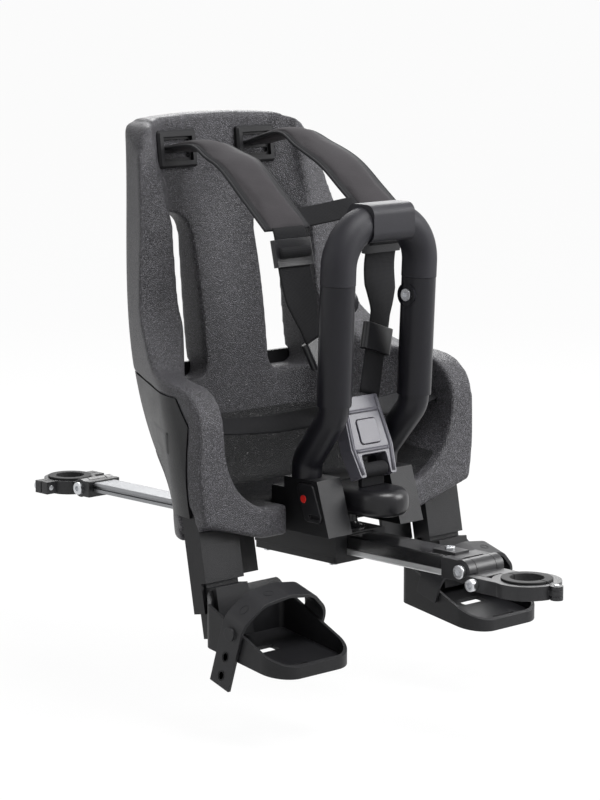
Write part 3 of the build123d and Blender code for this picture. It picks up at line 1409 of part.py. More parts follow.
# Chest strap between the pads
chest_half = strap_x - pad_end_half - seat_gap
with BuildPart() as chest_strap:
    add(ribbon([(-strap_x, chest_right[0], chest_right[1]), (strap_x, chest_left[0], chest_left[1])],
               chest_width, webbing_thick, (0, 1, 1)))
    split(bisect_by=Plane.YZ.offset(-chest_half), keep=Keep.TOP)
    split(bisect_by=Plane.YZ.offset(chest_half), keep=Keep.BOTTOM)
keep(chest_strap.part, "chest_strap")

# The finished bucket has rooms for the panels, the leg flanges, the harness frames and the belts
foam_part = foam_bucket.part - panel_room.part - flange_room.part - frame_room.part
foam_part = foam_part - belt_room - mirror(belt_room, about=Plane.YZ)
keep(foam_part, "foam_bucket")
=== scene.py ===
from math import cos, pi, radians, sin

import bmesh
import bpy
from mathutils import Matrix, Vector
from mathutils.bvhtree import BVHTree


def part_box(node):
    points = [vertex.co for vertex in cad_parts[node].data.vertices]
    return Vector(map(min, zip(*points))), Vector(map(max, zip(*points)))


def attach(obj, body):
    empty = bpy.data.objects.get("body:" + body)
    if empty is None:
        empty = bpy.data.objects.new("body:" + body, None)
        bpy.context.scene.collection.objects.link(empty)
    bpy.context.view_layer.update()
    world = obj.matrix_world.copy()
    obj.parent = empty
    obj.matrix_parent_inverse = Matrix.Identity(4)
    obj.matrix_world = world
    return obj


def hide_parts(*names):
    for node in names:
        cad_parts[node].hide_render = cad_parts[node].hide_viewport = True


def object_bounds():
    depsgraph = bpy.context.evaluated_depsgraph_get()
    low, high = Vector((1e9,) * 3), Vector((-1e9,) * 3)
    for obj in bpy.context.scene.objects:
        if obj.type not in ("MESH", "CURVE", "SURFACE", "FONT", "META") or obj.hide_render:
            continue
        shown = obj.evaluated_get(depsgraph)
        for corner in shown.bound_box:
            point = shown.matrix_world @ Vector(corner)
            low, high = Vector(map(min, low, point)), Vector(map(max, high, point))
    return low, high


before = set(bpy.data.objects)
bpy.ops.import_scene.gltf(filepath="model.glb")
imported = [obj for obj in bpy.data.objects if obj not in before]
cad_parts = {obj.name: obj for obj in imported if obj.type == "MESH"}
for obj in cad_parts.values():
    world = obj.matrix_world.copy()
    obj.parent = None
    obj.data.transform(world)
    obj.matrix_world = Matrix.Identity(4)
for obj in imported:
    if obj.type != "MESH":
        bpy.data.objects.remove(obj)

cad_low, cad_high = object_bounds()

# The rail is the seat's backbone: a black channel on a bright strip in front, and a grey bar that
# slides out of it behind. All are drawn aluminium, with a faint grain along their length.


def surface_group(name):
    """An empty effect: from a place and a fineness to a mask, for colour and gloss, and a height."""
    group = bpy.data.node_groups.new(name, "ShaderNodeTree")
    group.interface.new_socket(name="Vector", socket_type="NodeSocketVector", in_out="INPUT")
    group.interface.new_socket(name="Fineness", socket_type="NodeSocketFloat", in_out="INPUT")
    group.interface.new_socket(name="Mask", socket_type="NodeSocketFloat", in_out="OUTPUT")
    group.interface.new_socket(name="Height", socket_type="NodeSocketFloat", in_out="OUTPUT")
    return group, group.nodes.new("NodeGroupInput"), group.nodes.new("NodeGroupOutput")


def grain_group():
    """Fine grain of a moulded or drawn surface, over a slow change of tone."""
    group, start, end = surface_group("mould_grain")
    nodes, links = group.nodes, group.links
    fine = nodes.new("ShaderNodeTexNoise")
    fine.inputs["Detail"].default_value = 3.0
    fine.inputs["Roughness"].default_value = 0.6
    broad = nodes.new("ShaderNodeTexNoise")
    broad.inputs["Scale"].default_value = 28.0
    broad.inputs["Detail"].default_value = 2.0
    blend = nodes.new("ShaderNodeMix")
    blend.inputs[0].default_value = 0.45
    links.new(start.outputs["Vector"], fine.inputs["Vector"])
    links.new(start.outputs["Fineness"], fine.inputs["Scale"])
    links.new(start.outputs["Vector"], broad.inputs["Vector"])
    links.new(fine.outputs["Fac"], blend.inputs[2])
    links.new(broad.outputs["Fac"], blend.inputs[3])
    links.new(blend.outputs[0], end.inputs["Mask"])
    links.new(fine.outputs["Fac"], end.inputs["Height"])
    return group


mould_grain = grain_group()


def surfaced(name, group, fineness, dark, light, rough, bump, stretch=(1.0, 1.0, 1.0),
             coordinates="Object", mirror=0.25, metal=0.0):
    """A material whose colour, gloss and relief vary with a node group's mask and height."""
    material = bpy.data.materials.new(name)
    material.use_nodes = True
    nodes, links = material.node_tree.nodes, material.node_tree.links
    shader = nodes["Principled BSDF"]
    shader.inputs["Specular IOR Level"].default_value = mirror
    shader.inputs["Metallic"].default_value = metal
    place = nodes.new("ShaderNodeTexCoord")
    mapping = nodes.new("ShaderNodeMapping")
    mapping.inputs["Scale"].default_value = stretch
    effect = nodes.new("ShaderNodeGroup")
    effect.node_tree = group
    effect.inputs["Fineness"].default_value = fineness
    tint = nodes.new("ShaderNodeMix")
    tint.data_type = "RGBA"
    tint.inputs[6].default_value = (*dark, 1.0)
    tint.inputs[7].default_value = (*light, 1.0)
    sheen = nodes.new("ShaderNodeMapRange")
    sheen.inputs["From Min"].default_value = 0.3
    sheen.inputs["From Max"].default_value = 0.7
    sheen.inputs["To Min"].default_value = rough[0]
    sheen.inputs["To Max"].default_value = rough[1]
    relief = nodes.new("ShaderNodeBump")
    relief.inputs["Strength"].default_value = bump[0]
    relief.inputs["Distance"].default_value = bump[1]
    links.new(place.outputs[coordinates], mapping.inputs["Vector"])
    links.new(mapping.outputs["Vector"], effect.inputs["Vector"])
    links.new(effect.outputs["Mask"], tint.inputs[0])
    links.new(effect.outputs["Mask"], sheen.inputs["Value"])
    links.new(effect.outputs["Height"], relief.inputs["Height"])
    links.new(tint.outputs[2], shader.inputs["Base Color"])
    links.new(sheen.outputs["Result"], shader.inputs["Roughness"])
    links.new(relief.outputs["Normal"], shader.inputs["Normal"])
    return material


def softened(node, body, material, edge, segments=2, angle=32.0):
    """A made piece is its CAD solid with the sharp edges broken, as tooling leaves them."""
    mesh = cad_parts[node].data.copy()
    piece = bpy.data.objects.new(node + "_made", mesh)
    bpy.context.scene.collection.objects.link(piece)
    shape = bmesh.new()
    shape.from_mesh(mesh)
    bmesh.ops.remove_doubles(shape, verts=shape.verts, dist=0.00002)
    bmesh.ops.dissolve_limit(shape, angle_limit=radians(1.0), verts=shape.verts, edges=shape.edges)
    shape.to_mesh(mesh)
    shape.free()
    if "custom_normal" in mesh.attributes:
        mesh.attributes.remove(mesh.attributes["custom_normal"])
    mesh.shade_smooth()
    mesh.materials.clear()
    mesh.materials.append(material)
    rounding = piece.modifiers.new("broken_edges", "BEVEL")
    rounding.width = edge
    rounding.segments = segments
    rounding.limit_method = "ANGLE"
    rounding.angle_limit = radians(angle)
    rounding.harden_normals = True
    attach(piece, body)
    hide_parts(node)
    return piece


channel_coat = surfaced("black_coat", mould_grain, fineness=900.0, dark=(0.006, 0.006, 0.0065),
                        light=(0.012, 0.012, 0.013), rough=(0.16, 0.26), bump=(0.05, 0.0002),
                        stretch=(1.0, 0.15, 1.0), mirror=0.4)
shader = channel_coat.node_tree.nodes["Principled BSDF"]
shader.inputs["Coat Weight"].default_value = 0.5
shader.inputs["Coat Roughness"].default_value = 0.12
softened("rail_channel", "seat", channel_coat, edge=0.0006)
along_rail = (1.0, 0.03, 1.0)
bar_metal = surfaced("grey_anodised", mould_grain, fineness=1500.0, dark=(0.2, 0.205, 0.215),
                     light=(0.32, 0.325, 0.335), rough=(0.3, 0.42), bump=(0.12, 0.0002),
                     stretch=along_rail, metal=0.9)
softened("rail_bar", "rail_bar", bar_metal, edge=0.0007)
strip_metal = surfaced("bright_strip", mould_grain, fineness=1500.0, dark=(0.42, 0.425, 0.43),
                       light=(0.58, 0.585, 0.59), rough=(0.34, 0.46), bump=(0.12, 0.0002),
                       stretch=along_rail, metal=0.85)
softened("rail_strip", "seat", strip_metal, edge=0.0005)

# The two clamps and the yokes they swing in are aluminium castings, blasted and coated black.
# Rubber liners grip the bicycle's tubes, and zinc-plated bolts close and pivot them.
cast_black = surfaced("cast_black", mould_grain, fineness=1600.0, dark=(0.008, 0.008, 0.009),
                      light=(0.02, 0.02, 0.022), rough=(0.26, 0.4), bump=(0.25, 0.0004), mirror=0.35)
for node, body in (("front_yoke", "seat"), ("front_clamp_arm", "steerer_clamp"),
                   ("front_clamp_jaw", "steerer_clamp"), ("rear_yoke", "rail_bar"),
                   ("rear_clamp_arm", "seatpost_clamp"), ("rear_clamp_cap", "seatpost_clamp")):
    softened(node, body, cast_black, edge=0.0009)
liner_rubber = surfaced("liner_rubber", mould_grain, fineness=1800.0, dark=(0.012, 0.012, 0.012),
                        light=(0.026, 0.026, 0.027), rough=(0.55, 0.75), bump=(0.2, 0.0003))
for node, body in (("front_liner_left", "steerer_clamp"), ("front_liner_right", "steerer_clamp"),
                   ("rear_liner_front", "seatpost_clamp"), ("rear_liner_rear", "seatpost_clamp")):
    softened(node, body, liner_rubber, edge=0.0006)
bolt_zinc = surfaced("bolt_zinc", mould_grain, fineness=2400.0, dark=(0.42, 0.43, 0.45),
                     light=(0.72, 0.73, 0.75), rough=(0.2, 0.36), bump=(0.1, 0.0002), metal=1.0)
for node, body in (("front_jaw_pin", "steerer_clamp"), ("front_pinch_bolt", "steerer_clamp"),
                   ("front_pivot_bolt", "seat"), ("yoke_screw", "seat"), ("rear_pivot_bolt", "rail_bar"),
                   ("rear_cap_bolt_left", "seatpost_clamp"), ("rear_cap_bolt_right", "seatpost_clamp"),
                   ("keeper_screws", "seat")):
    softened(node, body, bolt_zinc, edge=0.0003)

# The saddle block is a glass-filled nylon moulding that grips the channel from above, with a
# keeper plate screwed on below. The hub behind the pommel is moulded in the same charcoal nylon.
nylon = surfaced("charcoal_nylon", mould_grain, fineness=1500.0, dark=(0.003, 0.003, 0.0036),
                 light=(0.0105, 0.0105, 0.012), rough=(0.36, 0.5), bump=(0.4, 0.0006))
softened("rail_saddle", "seat", nylon, edge=0.0012)
softened("saddle_keeper", "seat", nylon, edge=0.0008)
softened("hub", "seat", nylon, edge=0.0038, segments=4)

# The release paddles are small satin mouldings in the hub's sides, pressed inwards to free the handle.
# Each carries a red plastic mark, let into its face, that shows its state.
trim_plastic = surfaced("satin_trim", mould_grain, fineness=1800.0, dark=(0.007, 0.007, 0.008),
                        light=(0.015, 0.015, 0.017), rough=(0.26, 0.38), bump=(0.15, 0.0003),
                        mirror=0.35)
red_plastic = surfaced("red_mark", mould_grain, fineness=1800.0, dark=(0.5, 0.012, 0.01),
                       light=(0.66, 0.03, 0.024), rough=(0.2, 0.32), bump=(0.05, 0.0002))
for side in ("left", "right"):
    softened(f"release_paddle_{side}", f"paddle_{side}", trim_plastic, edge=0.0005)
    softened(f"paddle_mark_{side}", f"paddle_{side}", red_plastic, edge=0.0002)

# The pommel is a soft nose of foam, moulded with its own skin. It is pushed on a turned, polished post
# that stands on the saddle block.
post_gloss = surfaced("polished_post", mould_grain, fineness=900.0, dark=(0.012, 0.012, 0.013),
                      light=(0.02, 0.02, 0.022), rough=(0.1, 0.2), bump=(0.03, 0.0002))
softened("pommel_post", "seat", post_gloss, edge=0.0006)


def swollen(node, body, material, voxel, passes, name):
    """A foam piece is its solid with every edge rounded over, as the mould leaves it."""
    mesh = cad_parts[node].data.copy()
    piece = bpy.data.objects.new(name, mesh)
    bpy.context.scene.collection.objects.link(piece)
    if "custom_normal" in mesh.attributes:
        mesh.attributes.remove(mesh.attributes["custom_normal"])
    mesh.materials.clear()
    mesh.materials.append(material)
    shape = bmesh.new()
    shape.from_mesh(mesh)
    bmesh.ops.remove_doubles(shape, verts=shape.verts, dist=0.00002)
    shape.to_mesh(mesh)
    shape.free()
    remesh = piece.modifiers.new("skin", "REMESH")
    remesh.mode = "VOXEL"
    remesh.voxel_size = voxel
    remesh.use_smooth_shade = True
    smooth = piece.modifiers.new("rounding", "SMOOTH")
    smooth.factor = 0.5
    smooth.iterations = passes
    graph = bpy.context.evaluated_depsgraph_get()
    made = bpy.data.meshes.new_from_object(piece.evaluated_get(graph))
    piece.modifiers.clear()
    piece.data = made
    made.materials.clear()
    made.materials.append(material)
    made.shade_smooth()
    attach(piece, body)
    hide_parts(node)
    return piece


pommel_skin = surfaced("pommel_skin", mould_grain, fineness=1300.0, dark=(0.0035, 0.0034, 0.0042),
                       light=(0.009, 0.0088, 0.0105), rough=(0.26, 0.36), bump=(0.2, 0.0004), mirror=0.3)
pommel = swollen("pommel", "seat", pommel_skin, voxel=0.0022, passes=14,
                 name="pommel_nose")

# The bucket is one block of expanded foam beads, steam-moulded, so its skin shows the fused beads.
# The seat and the lower inner walls are coloured near black, as painted shade for the hollow of the
# bucket.


def bead_group():
    """Fused beads: cells of slightly different tone, with fine creases between them."""
    group, start, end = surface_group("foam_beads")
    nodes, links = group.nodes, group.links
    cells = nodes.new("ShaderNodeTexVoronoi")
    cells.feature = "F1"
    edges = nodes.new("ShaderNodeTexVoronoi")
    edges.feature = "DISTANCE_TO_EDGE"
    speck = nodes.new("ShaderNodeTexNoise")
    speck.inputs["Scale"].default_value = 900.0
    speck.inputs["Detail"].default_value = 2.0
    tone = nodes.new("ShaderNodeSeparateColor")
    rise = nodes.new("ShaderNodeMapRange")
    rise.inputs["From Max"].default_value = 0.25
    blend = nodes.new("ShaderNodeMix")
    blend.inputs[0].default_value = 0.5
    crease = nodes.new("ShaderNodeMath")
    crease.operation = "MULTIPLY"
    for texture in (cells, edges):
        links.new(start.outputs["Vector"], texture.inputs["Vector"])
        links.new(start.outputs["Fineness"], texture.inputs["Scale"])
    links.new(start.outputs["Vector"], speck.inputs["Vector"])
    links.new(cells.outputs["Color"], tone.inputs["Color"])
    links.new(tone.outputs["Red"], blend.inputs[2])
    links.new(speck.outputs["Fac"], blend.inputs[3])
    links.new(edges.outputs["Distance"], rise.inputs["Value"])
    links.new(blend.outputs[0], crease.inputs[0])
    links.new(rise.outputs["Result"], crease.inputs[1])
    links.new(crease.outputs["Value"], end.inputs["Mask"])
    links.new(rise.outputs["Result"], end.inputs["Height"])
    return group


foam_beads = bead_group()
bucket_foam = surfaced("bead_foam", foam_beads, fineness=640.0, dark=(0.0115, 0.0112, 0.0128),
                       light=(0.115, 0.1125, 0.1255), rough=(0.42, 0.58), bump=(0.6, 0.0006), mirror=0.3)
nodes, links = bucket_foam.node_tree.nodes, bucket_foam.node_tree.links
base_colour = nodes["Principled BSDF"].inputs["Base Color"]
spot = nodes.new("ShaderNodeTexCoord")
axes = nodes.new("ShaderNodeSeparateXYZ")
sideways = nodes.new("ShaderNodeMath")
sideways.operation = "ABSOLUTE"
links.new(spot.outputs["Object"], axes.inputs["Vector"])
links.new(axes.outputs["X"], sideways.inputs[0])
# Painted shade: inside this box, over the seat and the lower inner walls, the foam colour is mixed to near
# black.
shade_half_width, shade_front, shade_rear, shade_top = 0.1255, 0.2272, 0.36, 0.1065
shade_fade = 0.001
painted_shade = None
for source, inside, outwards in ((sideways.outputs["Value"], shade_half_width, shade_fade),
                                 (axes.outputs["Y"], shade_front, -shade_fade),
                                 (axes.outputs["Y"], shade_rear, shade_fade),
                                 (axes.outputs["Z"], shade_top, shade_fade)):
    bound = nodes.new("ShaderNodeMapRange")
    bound.inputs["From Min"].default_value = inside + outwards
    bound.inputs["From Max"].default_value = inside
    links.new(source, bound.inputs["Value"])
    if painted_shade is None:
        painted_shade = bound.outputs["Result"]
    else:
        within = nodes.new("ShaderNodeMath")
        within.operation = "MULTIPLY"
        links.new(painted_shade, within.inputs[0])
        links.new(bound.outputs["Result"], within.inputs[1])
        painted_shade = within.outputs["Value"]
# The painted shade's near-black colour, mixed in where the mask is one.
shaded_colour = nodes.new("ShaderNodeMix")
shaded_colour.data_type = "RGBA"
shaded_colour.inputs[7].default_value = (0.008, 0.008, 0.009, 1.0)
links.new(painted_shade, shaded_colour.inputs[0])
links.new(base_colour.links[0].from_socket, shaded_colour.inputs[6])
links.new(shaded_colour.outputs[2], base_colour)
bucket = swollen("foam_bucket", "seat", bucket_foam, voxel=0.0017, passes=30,
                 name="foam_shell")

# The carrier is a thin charcoal moulding wrapped round the bucket, with a sleeve for each leg.
# The seat pan is a smooth black plate let into the foam.
softened("carrier", "seat", nylon, edge=0.0007)


def panel_badge(side, front, rear, low, high, proud, material):
    """A bare plate with round corners, moulded slightly proud of the carrier's side panel."""
    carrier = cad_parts["carrier"]
    panel = bmesh.new()
    panel.from_mesh(carrier.data)
    panel.transform(carrier.matrix_world)
    wall = BVHTree.FromBMesh(panel)
    panel.free()
    mesh = bpy.data.meshes.new(f"panel_badge_{side}")
    badge = bpy.data.objects.new(f"panel_badge_{side}", mesh)
    bpy.context.scene.collection.objects.link(badge)
    sign = 1 if side == "left" else -1
    shape = bmesh.new()
    across, up = 16, 8
    let_in, clear_of_panel = -0.0004, 0.25
    inwards = Vector((-sign, 0.0, 0.0))
    grid = []
    for row in range(up + 1):
        line = []
        for column in range(across + 1):
            y = front + (rear - front) * column / across
            z = low + (high - low) * row / up
            spot, normal = wall.ray_cast(Vector((sign * clear_of_panel, y, z)), inwards)[:2]
            rim = row in (0, up) or column in (0, across)
            line.append(shape.verts.new(spot + normal * (let_in if rim else proud)))
        grid.append(line)
    for lower, upper in zip(grid, grid[1:]):
        for k in range(across):
            shape.faces.new((lower[k], lower[k + 1], upper[k + 1], upper[k]))
    bmesh.ops.delete(shape, geom=[grid[0][0], grid[0][-1], grid[-1][0], grid[-1][-1]], context="VERTS")
    bmesh.ops.recalc_face_normals(shape, faces=shape.faces)
    shape.to_mesh(mesh)
    shape.free()
    mesh.shade_smooth()
    mesh.materials.append(material)
    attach(badge, "seat")


for side in ("left", "right"):
    panel_badge(side, front=0.262, rear=0.318, low=0.096, high=0.118, proud=0.0007, material=nylon)
pan_gloss = surfaced("pan_gloss", mould_grain, fineness=1100.0, dark=(0.009, 0.009, 0.01),
                     light=(0.016, 0.016, 0.018), rough=(0.22, 0.34), bump=(0.1, 0.0003))
softened("seat_pan", "seat", pan_gloss, edge=0.0006)

# Each foot cup is moulded with its upright, which slides in the carrier's sleeve. A sprung latch
# behind the sleeve holds its height, and a rubber strap closes over the shoe.
strap_rubber = surfaced("strap_rubber", mould_grain, fineness=1400.0, dark=(0.008, 0.008, 0.009),
                        light=(0.018, 0.018, 0.02), rough=(0.4, 0.55), bump=(0.2, 0.0004))
for side in ("left", "right"):
    softened(f"footrest_{side}", f"foot_{side}", nylon, edge=0.0012)
    softened(f"leg_latch_{side}", f"latch_{side}", trim_plastic, edge=0.0005)
    softened(f"foot_strap_{side}", f"foot_{side}", strap_rubber, edge=0.0009)


def eyelet(name, middle, along, across, length, width, material):
    """A raised oval lip on a strap, closed by a flat disc; its near-black colour is painted shade for the
    hole.
    """
    out = Vector(along).cross(Vector(across)).normalized()
    mesh = bpy.data.meshes.new(name)
    hole = bpy.data.objects.new(name, mesh)
    bpy.context.scene.collection.objects.link(hole)
    shape = bmesh.new()
    rings = []
    for share, rise in ((1.0, -0.0004), (0.97, 0.0004), (0.84, 0.0006), (0.76, 0.0001)):
        ring = []
        for k in range(24):
            run = Vector(along) * (share * length / 2 * cos(k * pi / 12))
            spread = Vector(across) * (share * width / 2 * sin(k * pi / 12))
            ring.append(shape.verts.new(Vector(middle) + run + spread + out * rise))
        rings.append(ring)
    for ring, after in zip(rings, rings[1:]):
        for k in range(24):
            shape.faces.new((ring[k], ring[(k + 1) % 24], after[(k + 1) % 24], after[k]))
    # The flat disc that closes the lip is painted shade where the hole through the strap would be.
    shape.faces.new(rings[-1])
    bmesh.ops.recalc_face_normals(shape, faces=shape.faces)
    shape.to_mesh(mesh)
    shape.free()
    mesh.shade_smooth()
    mesh.materials.append(material)
    return hole


strap_drop, strap_rise = Vector((0.0, -0.3007, 0.9537)), Vector((0.0, -0.9537, -0.3007))
# The strap's holes are raised lips closed by near-black discs, painted shade for the holes.
painted_hole_shade = surfaced("painted_hole_shade", mould_grain, fineness=1400.0, dark=(0.002, 0.002, 0.002),
                        light=(0.006, 0.006, 0.006), rough=(0.4, 0.6), bump=(0.2, 0.0003))
eyelet_length, eyelet_width = 0.0095, 0.0065
eyelet_places = ((0.0497, -0.044, 0.0), (0.0497, -0.026, 0.0), (0.0398, 0.0172, 0.846),
                 (0.0148, 0.0284, 1.433))
for side, sign in (("right", -1), ("left", 1)):
    strap_foot = Vector((sign * 0.12, 0.18, -0.0405))
    for number, (u, v, lean) in enumerate(eyelet_places):
        along = Vector((-sign * sin(lean), 0.0, 0.0)) + strap_drop * cos(lean)
        hole = eyelet(f"foot_strap_{side}_eyelet_{number}",
                      strap_foot + Vector((sign * u, 0.0, 0.0)) + strap_drop * v,
                      along, -sign * strap_rise, eyelet_length, eyelet_width, painted_hole_shade)
        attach(hole, f"foot_{side}")

# The handle's legs are bent tubes in a satin blue-grey sleeve, plugged into the hub, and its bow is
# overmoulded rubber. A screw in a raised ring holds the bow on each leg.
handle_satin = surfaced("handle_satin", mould_grain, fineness=1700.0, dark=(0.0035, 0.0034, 0.005),
                        light=(0.0085, 0.0083, 0.0115), rough=(0.3, 0.4), bump=(0.18, 0.0003))
grip_rubber = surfaced("grip_rubber", mould_grain, fineness=1300.0, dark=(0.006, 0.0058, 0.008),
                       light=(0.0135, 0.0132, 0.0175), rough=(0.46, 0.58), bump=(0.3, 0.0005))
boss_profile = ((0.0105, -0.0062), (0.0094, -0.0036), (0.0088, 0.0), (0.0083, 0.0007), (0.0066, 0.0007),
                (0.006, 0.0), (0.0059, -0.0028))
for side in ("left", "right"):
    softened(f"handle_leg_{side}", "seat", handle_satin, edge=0.0008)
    softened(f"handle_screw_{side}", "seat", bolt_zinc, edge=0.0003)
    screw_low, screw_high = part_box(f"handle_screw_{side}")
    middle = (screw_low + screw_high) / 2
    sign = 1 if side == "left" else -1
    outer = screw_high.x if side == "left" else screw_low.x
    boss_mesh = bpy.data.meshes.new(f"handle_boss_{side}")
    boss = bpy.data.objects.new(f"handle_boss_{side}", boss_mesh)
    bpy.context.scene.collection.objects.link(boss)
    shape = bmesh.new()
    rings = [[shape.verts.new((outer + sign * run, middle.y + reach * cos(k * pi / 16),
                               middle.z + reach * sin(k * pi / 16))) for k in range(32)]
             for reach, run in boss_profile]
    for ring, after in zip(rings, rings[1:]):
        for k in range(32):
            shape.faces.new((ring[k], ring[(k + 1) % 32], after[(k + 1) % 32], after[k]))
    bmesh.ops.recalc_face_normals(shape, faces=shape.faces)
    shape.to_mesh(boss_mesh)
    shape.free()
    boss_mesh.shade_smooth()
    boss_mesh.materials.append(handle_satin)
    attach(boss, "seat")
softened("handle_grip", "seat", grip_rubber, edge=0.0012)

# The harness hangs from two bevelled frames of matt black plastic, pressed into the backrest. Each
# has a slot for the strap.
frame_matt = surfaced("frame_matt", mould_grain, fineness=1600.0, dark=(0.004, 0.004, 0.0045),
                      light=(0.012, 0.012, 0.0135), rough=(0.5, 0.65), bump=(0.25, 0.0004), mirror=0.2)
for side in ("left", "right"):
    softened(f"strap_frame_{side}", "seat", frame_matt, edge=0.0011, segments=3)

# The shoulder pads are foam in a knitted cover, narrow at the frame and wide at the chest. The cover
# is sewn flat outside the foam, with a bound and piped edge along both sides.


def knit_group():
    """A close knit: small rounded stitches in rows, with slow changes of tone."""
    group, start, end = surface_group("close_knit")
    nodes, links = group.nodes, group.links
    stitch = nodes.new("ShaderNodeTexVoronoi")
    stitch.feature = "SMOOTH_F1"
    stitch.inputs["Randomness"].default_value = 0.35
    cloud = nodes.new("ShaderNodeTexNoise")
    cloud.inputs["Scale"].default_value = 60.0
    blend = nodes.new("ShaderNodeMix")
    blend.inputs[0].default_value = 0.5
    links.new(start.outputs["Vector"], stitch.inputs["Vector"])
    links.new(start.outputs["Fineness"], stitch.inputs["Scale"])
    links.new(start.outputs["Vector"], cloud.inputs["Vector"])
    links.new(stitch.outputs["Distance"], blend.inputs[2])
    links.new(cloud.outputs["Fac"], blend.inputs[3])
    links.new(blend.outputs[0], end.inputs["Mask"])
    links.new(stitch.outputs["Distance"], end.inputs["Height"])
    return group


close_knit = knit_group()


def smooth_line(points, steps=8):
    """Points along a smooth curve that passes through each of the given ones."""
    given = [Vector(point) for point in points]
    ends = [2 * given[0] - given[1], *given, 2 * given[-1] - given[-2]]
    line = []
    for a, b, c, d in zip(ends, ends[1:], ends[2:], ends[3:]):
        for step in range(steps):
            t = step / steps
            line.append(0.5 * (2 * b + (c - a) * t + (2 * a - 5 * b + 4 * c - d) * t ** 2
                               + (3 * b - a - 3 * c + d) * t ** 3))
    return [*line, given[-1]]


def banded(name, line, outline_at, across, material):
    """A closed band along a line. Its outline at each point is a ring of (sideways, upwards) offsets."""
    mesh = bpy.data.meshes.new(name)
    piece = bpy.data.objects.new(name, mesh)
    bpy.context.scene.collection.objects.link(piece)
    shape = bmesh.new()
    layer = shape.loops.layers.uv.new("flat_cut")
    rings = []
    places = []
    run = 0.0
    for index, point in enumerate(line):
        before = line[max(index - 1, 0)]
        after = line[min(index + 1, len(line) - 1)]
        tangent = (after - before).normalized()
        side = Vector(across)
        side = (side - tangent * side.dot(tangent)).normalized()
        up = side.cross(tangent)
        if index:
            run += (point - line[index - 1]).length
        ring = outline_at(index / (len(line) - 1))
        rings.append([shape.verts.new(point + side * u + up * v) for u, v in ring])
        places.append([(u, run) for u, v in ring])
    for ring, after, place, place_after in zip(rings, rings[1:], places, places[1:]):
        for k in range(len(ring)):
            j = (k + 1) % len(ring)
            face = shape.faces.new((ring[k], ring[j], after[j], after[k]))
            for loop, spot in zip(face.loops, (place[k], place[j], place_after[j], place_after[k])):
                loop[layer].uv = spot
    shape.faces.new(list(reversed(rings[0])))
    shape.faces.new(rings[-1])
    bmesh.ops.recalc_face_normals(shape, faces=shape.faces)
    shape.to_mesh(mesh)
    shape.free()
    mesh.shade_smooth()
    mesh.materials.append(material)
    return piece


pad_cloth = surfaced("pad_knit", close_knit, fineness=900.0, dark=(0.016, 0.015, 0.016),
                     light=(0.05, 0.0465, 0.05), rough=(0.85, 1.0), bump=(0.4, 0.0004), mirror=0.15)
binding_cloth = surfaced("pad_binding", close_knit, fineness=1500.0, dark=(0.006, 0.006, 0.007),
                         light=(0.018, 0.018, 0.02), rough=(0.7, 0.85), bump=(0.4, 0.0003))
pad_lines = {
    "right": [(-0.048, 0.3834, 0.3476), (-0.048, 0.3448, 0.3524), (-0.048, 0.32, 0.3445),
              (-0.048, 0.2978, 0.3352), (-0.048, 0.268, 0.31), (-0.048, 0.239, 0.285)],
    "left": [(0.048, 0.3834, 0.3482), (0.048, 0.3351, 0.3602), (0.048, 0.305, 0.35),
             (0.048, 0.272, 0.3355), (0.048, 0.243, 0.3138), (0.048, 0.217, 0.2938)],
}


def pad_width(share):
    """Half width of a pad along its length: narrow at the frame, full from the middle on."""
    at_frame, widening, full_from = 0.0138, 0.0117, 0.55
    ease = min(share / full_from, 1.0)
    return at_frame + widening * ease * ease * (3 - 2 * ease)


def pad_outline(share):
    """Crowned section of the filling, which stops short of the sewn edge and thins at both ends."""
    sewn_edge, end_rise, crown, flatter_under = 0.0034, 0.0036, 0.0028, 0.62
    half = pad_width(share) - sewn_edge
    rise = end_rise + crown * min(share * 12, (1 - share) * 16, 1.0)
    top = [(half * cos(k * pi / 12), rise * sin(k * pi / 12) ** 0.7) for k in range(13)]
    under = [(-u, -flatter_under * v) for u, v in top[1:-1]]
    return top + under


def flange_outline(share):
    """Flat sewn edge that runs all round the filling."""
    half = pad_width(share)
    return [(half, 0.0), (half - 0.0005, 0.0013), (0.0, 0.0015), (0.0005 - half, 0.0013), (-half, 0.0),
            (0.0005 - half, -0.0013), (0.0, -0.0015), (half - 0.0005, -0.0013)]


def piping_outline(share):
    """Round cord sewn into the edge of the cover."""
    radius = 0.0014
    return [(radius * cos(k * pi / 4), radius * sin(k * pi / 4)) for k in range(8)]


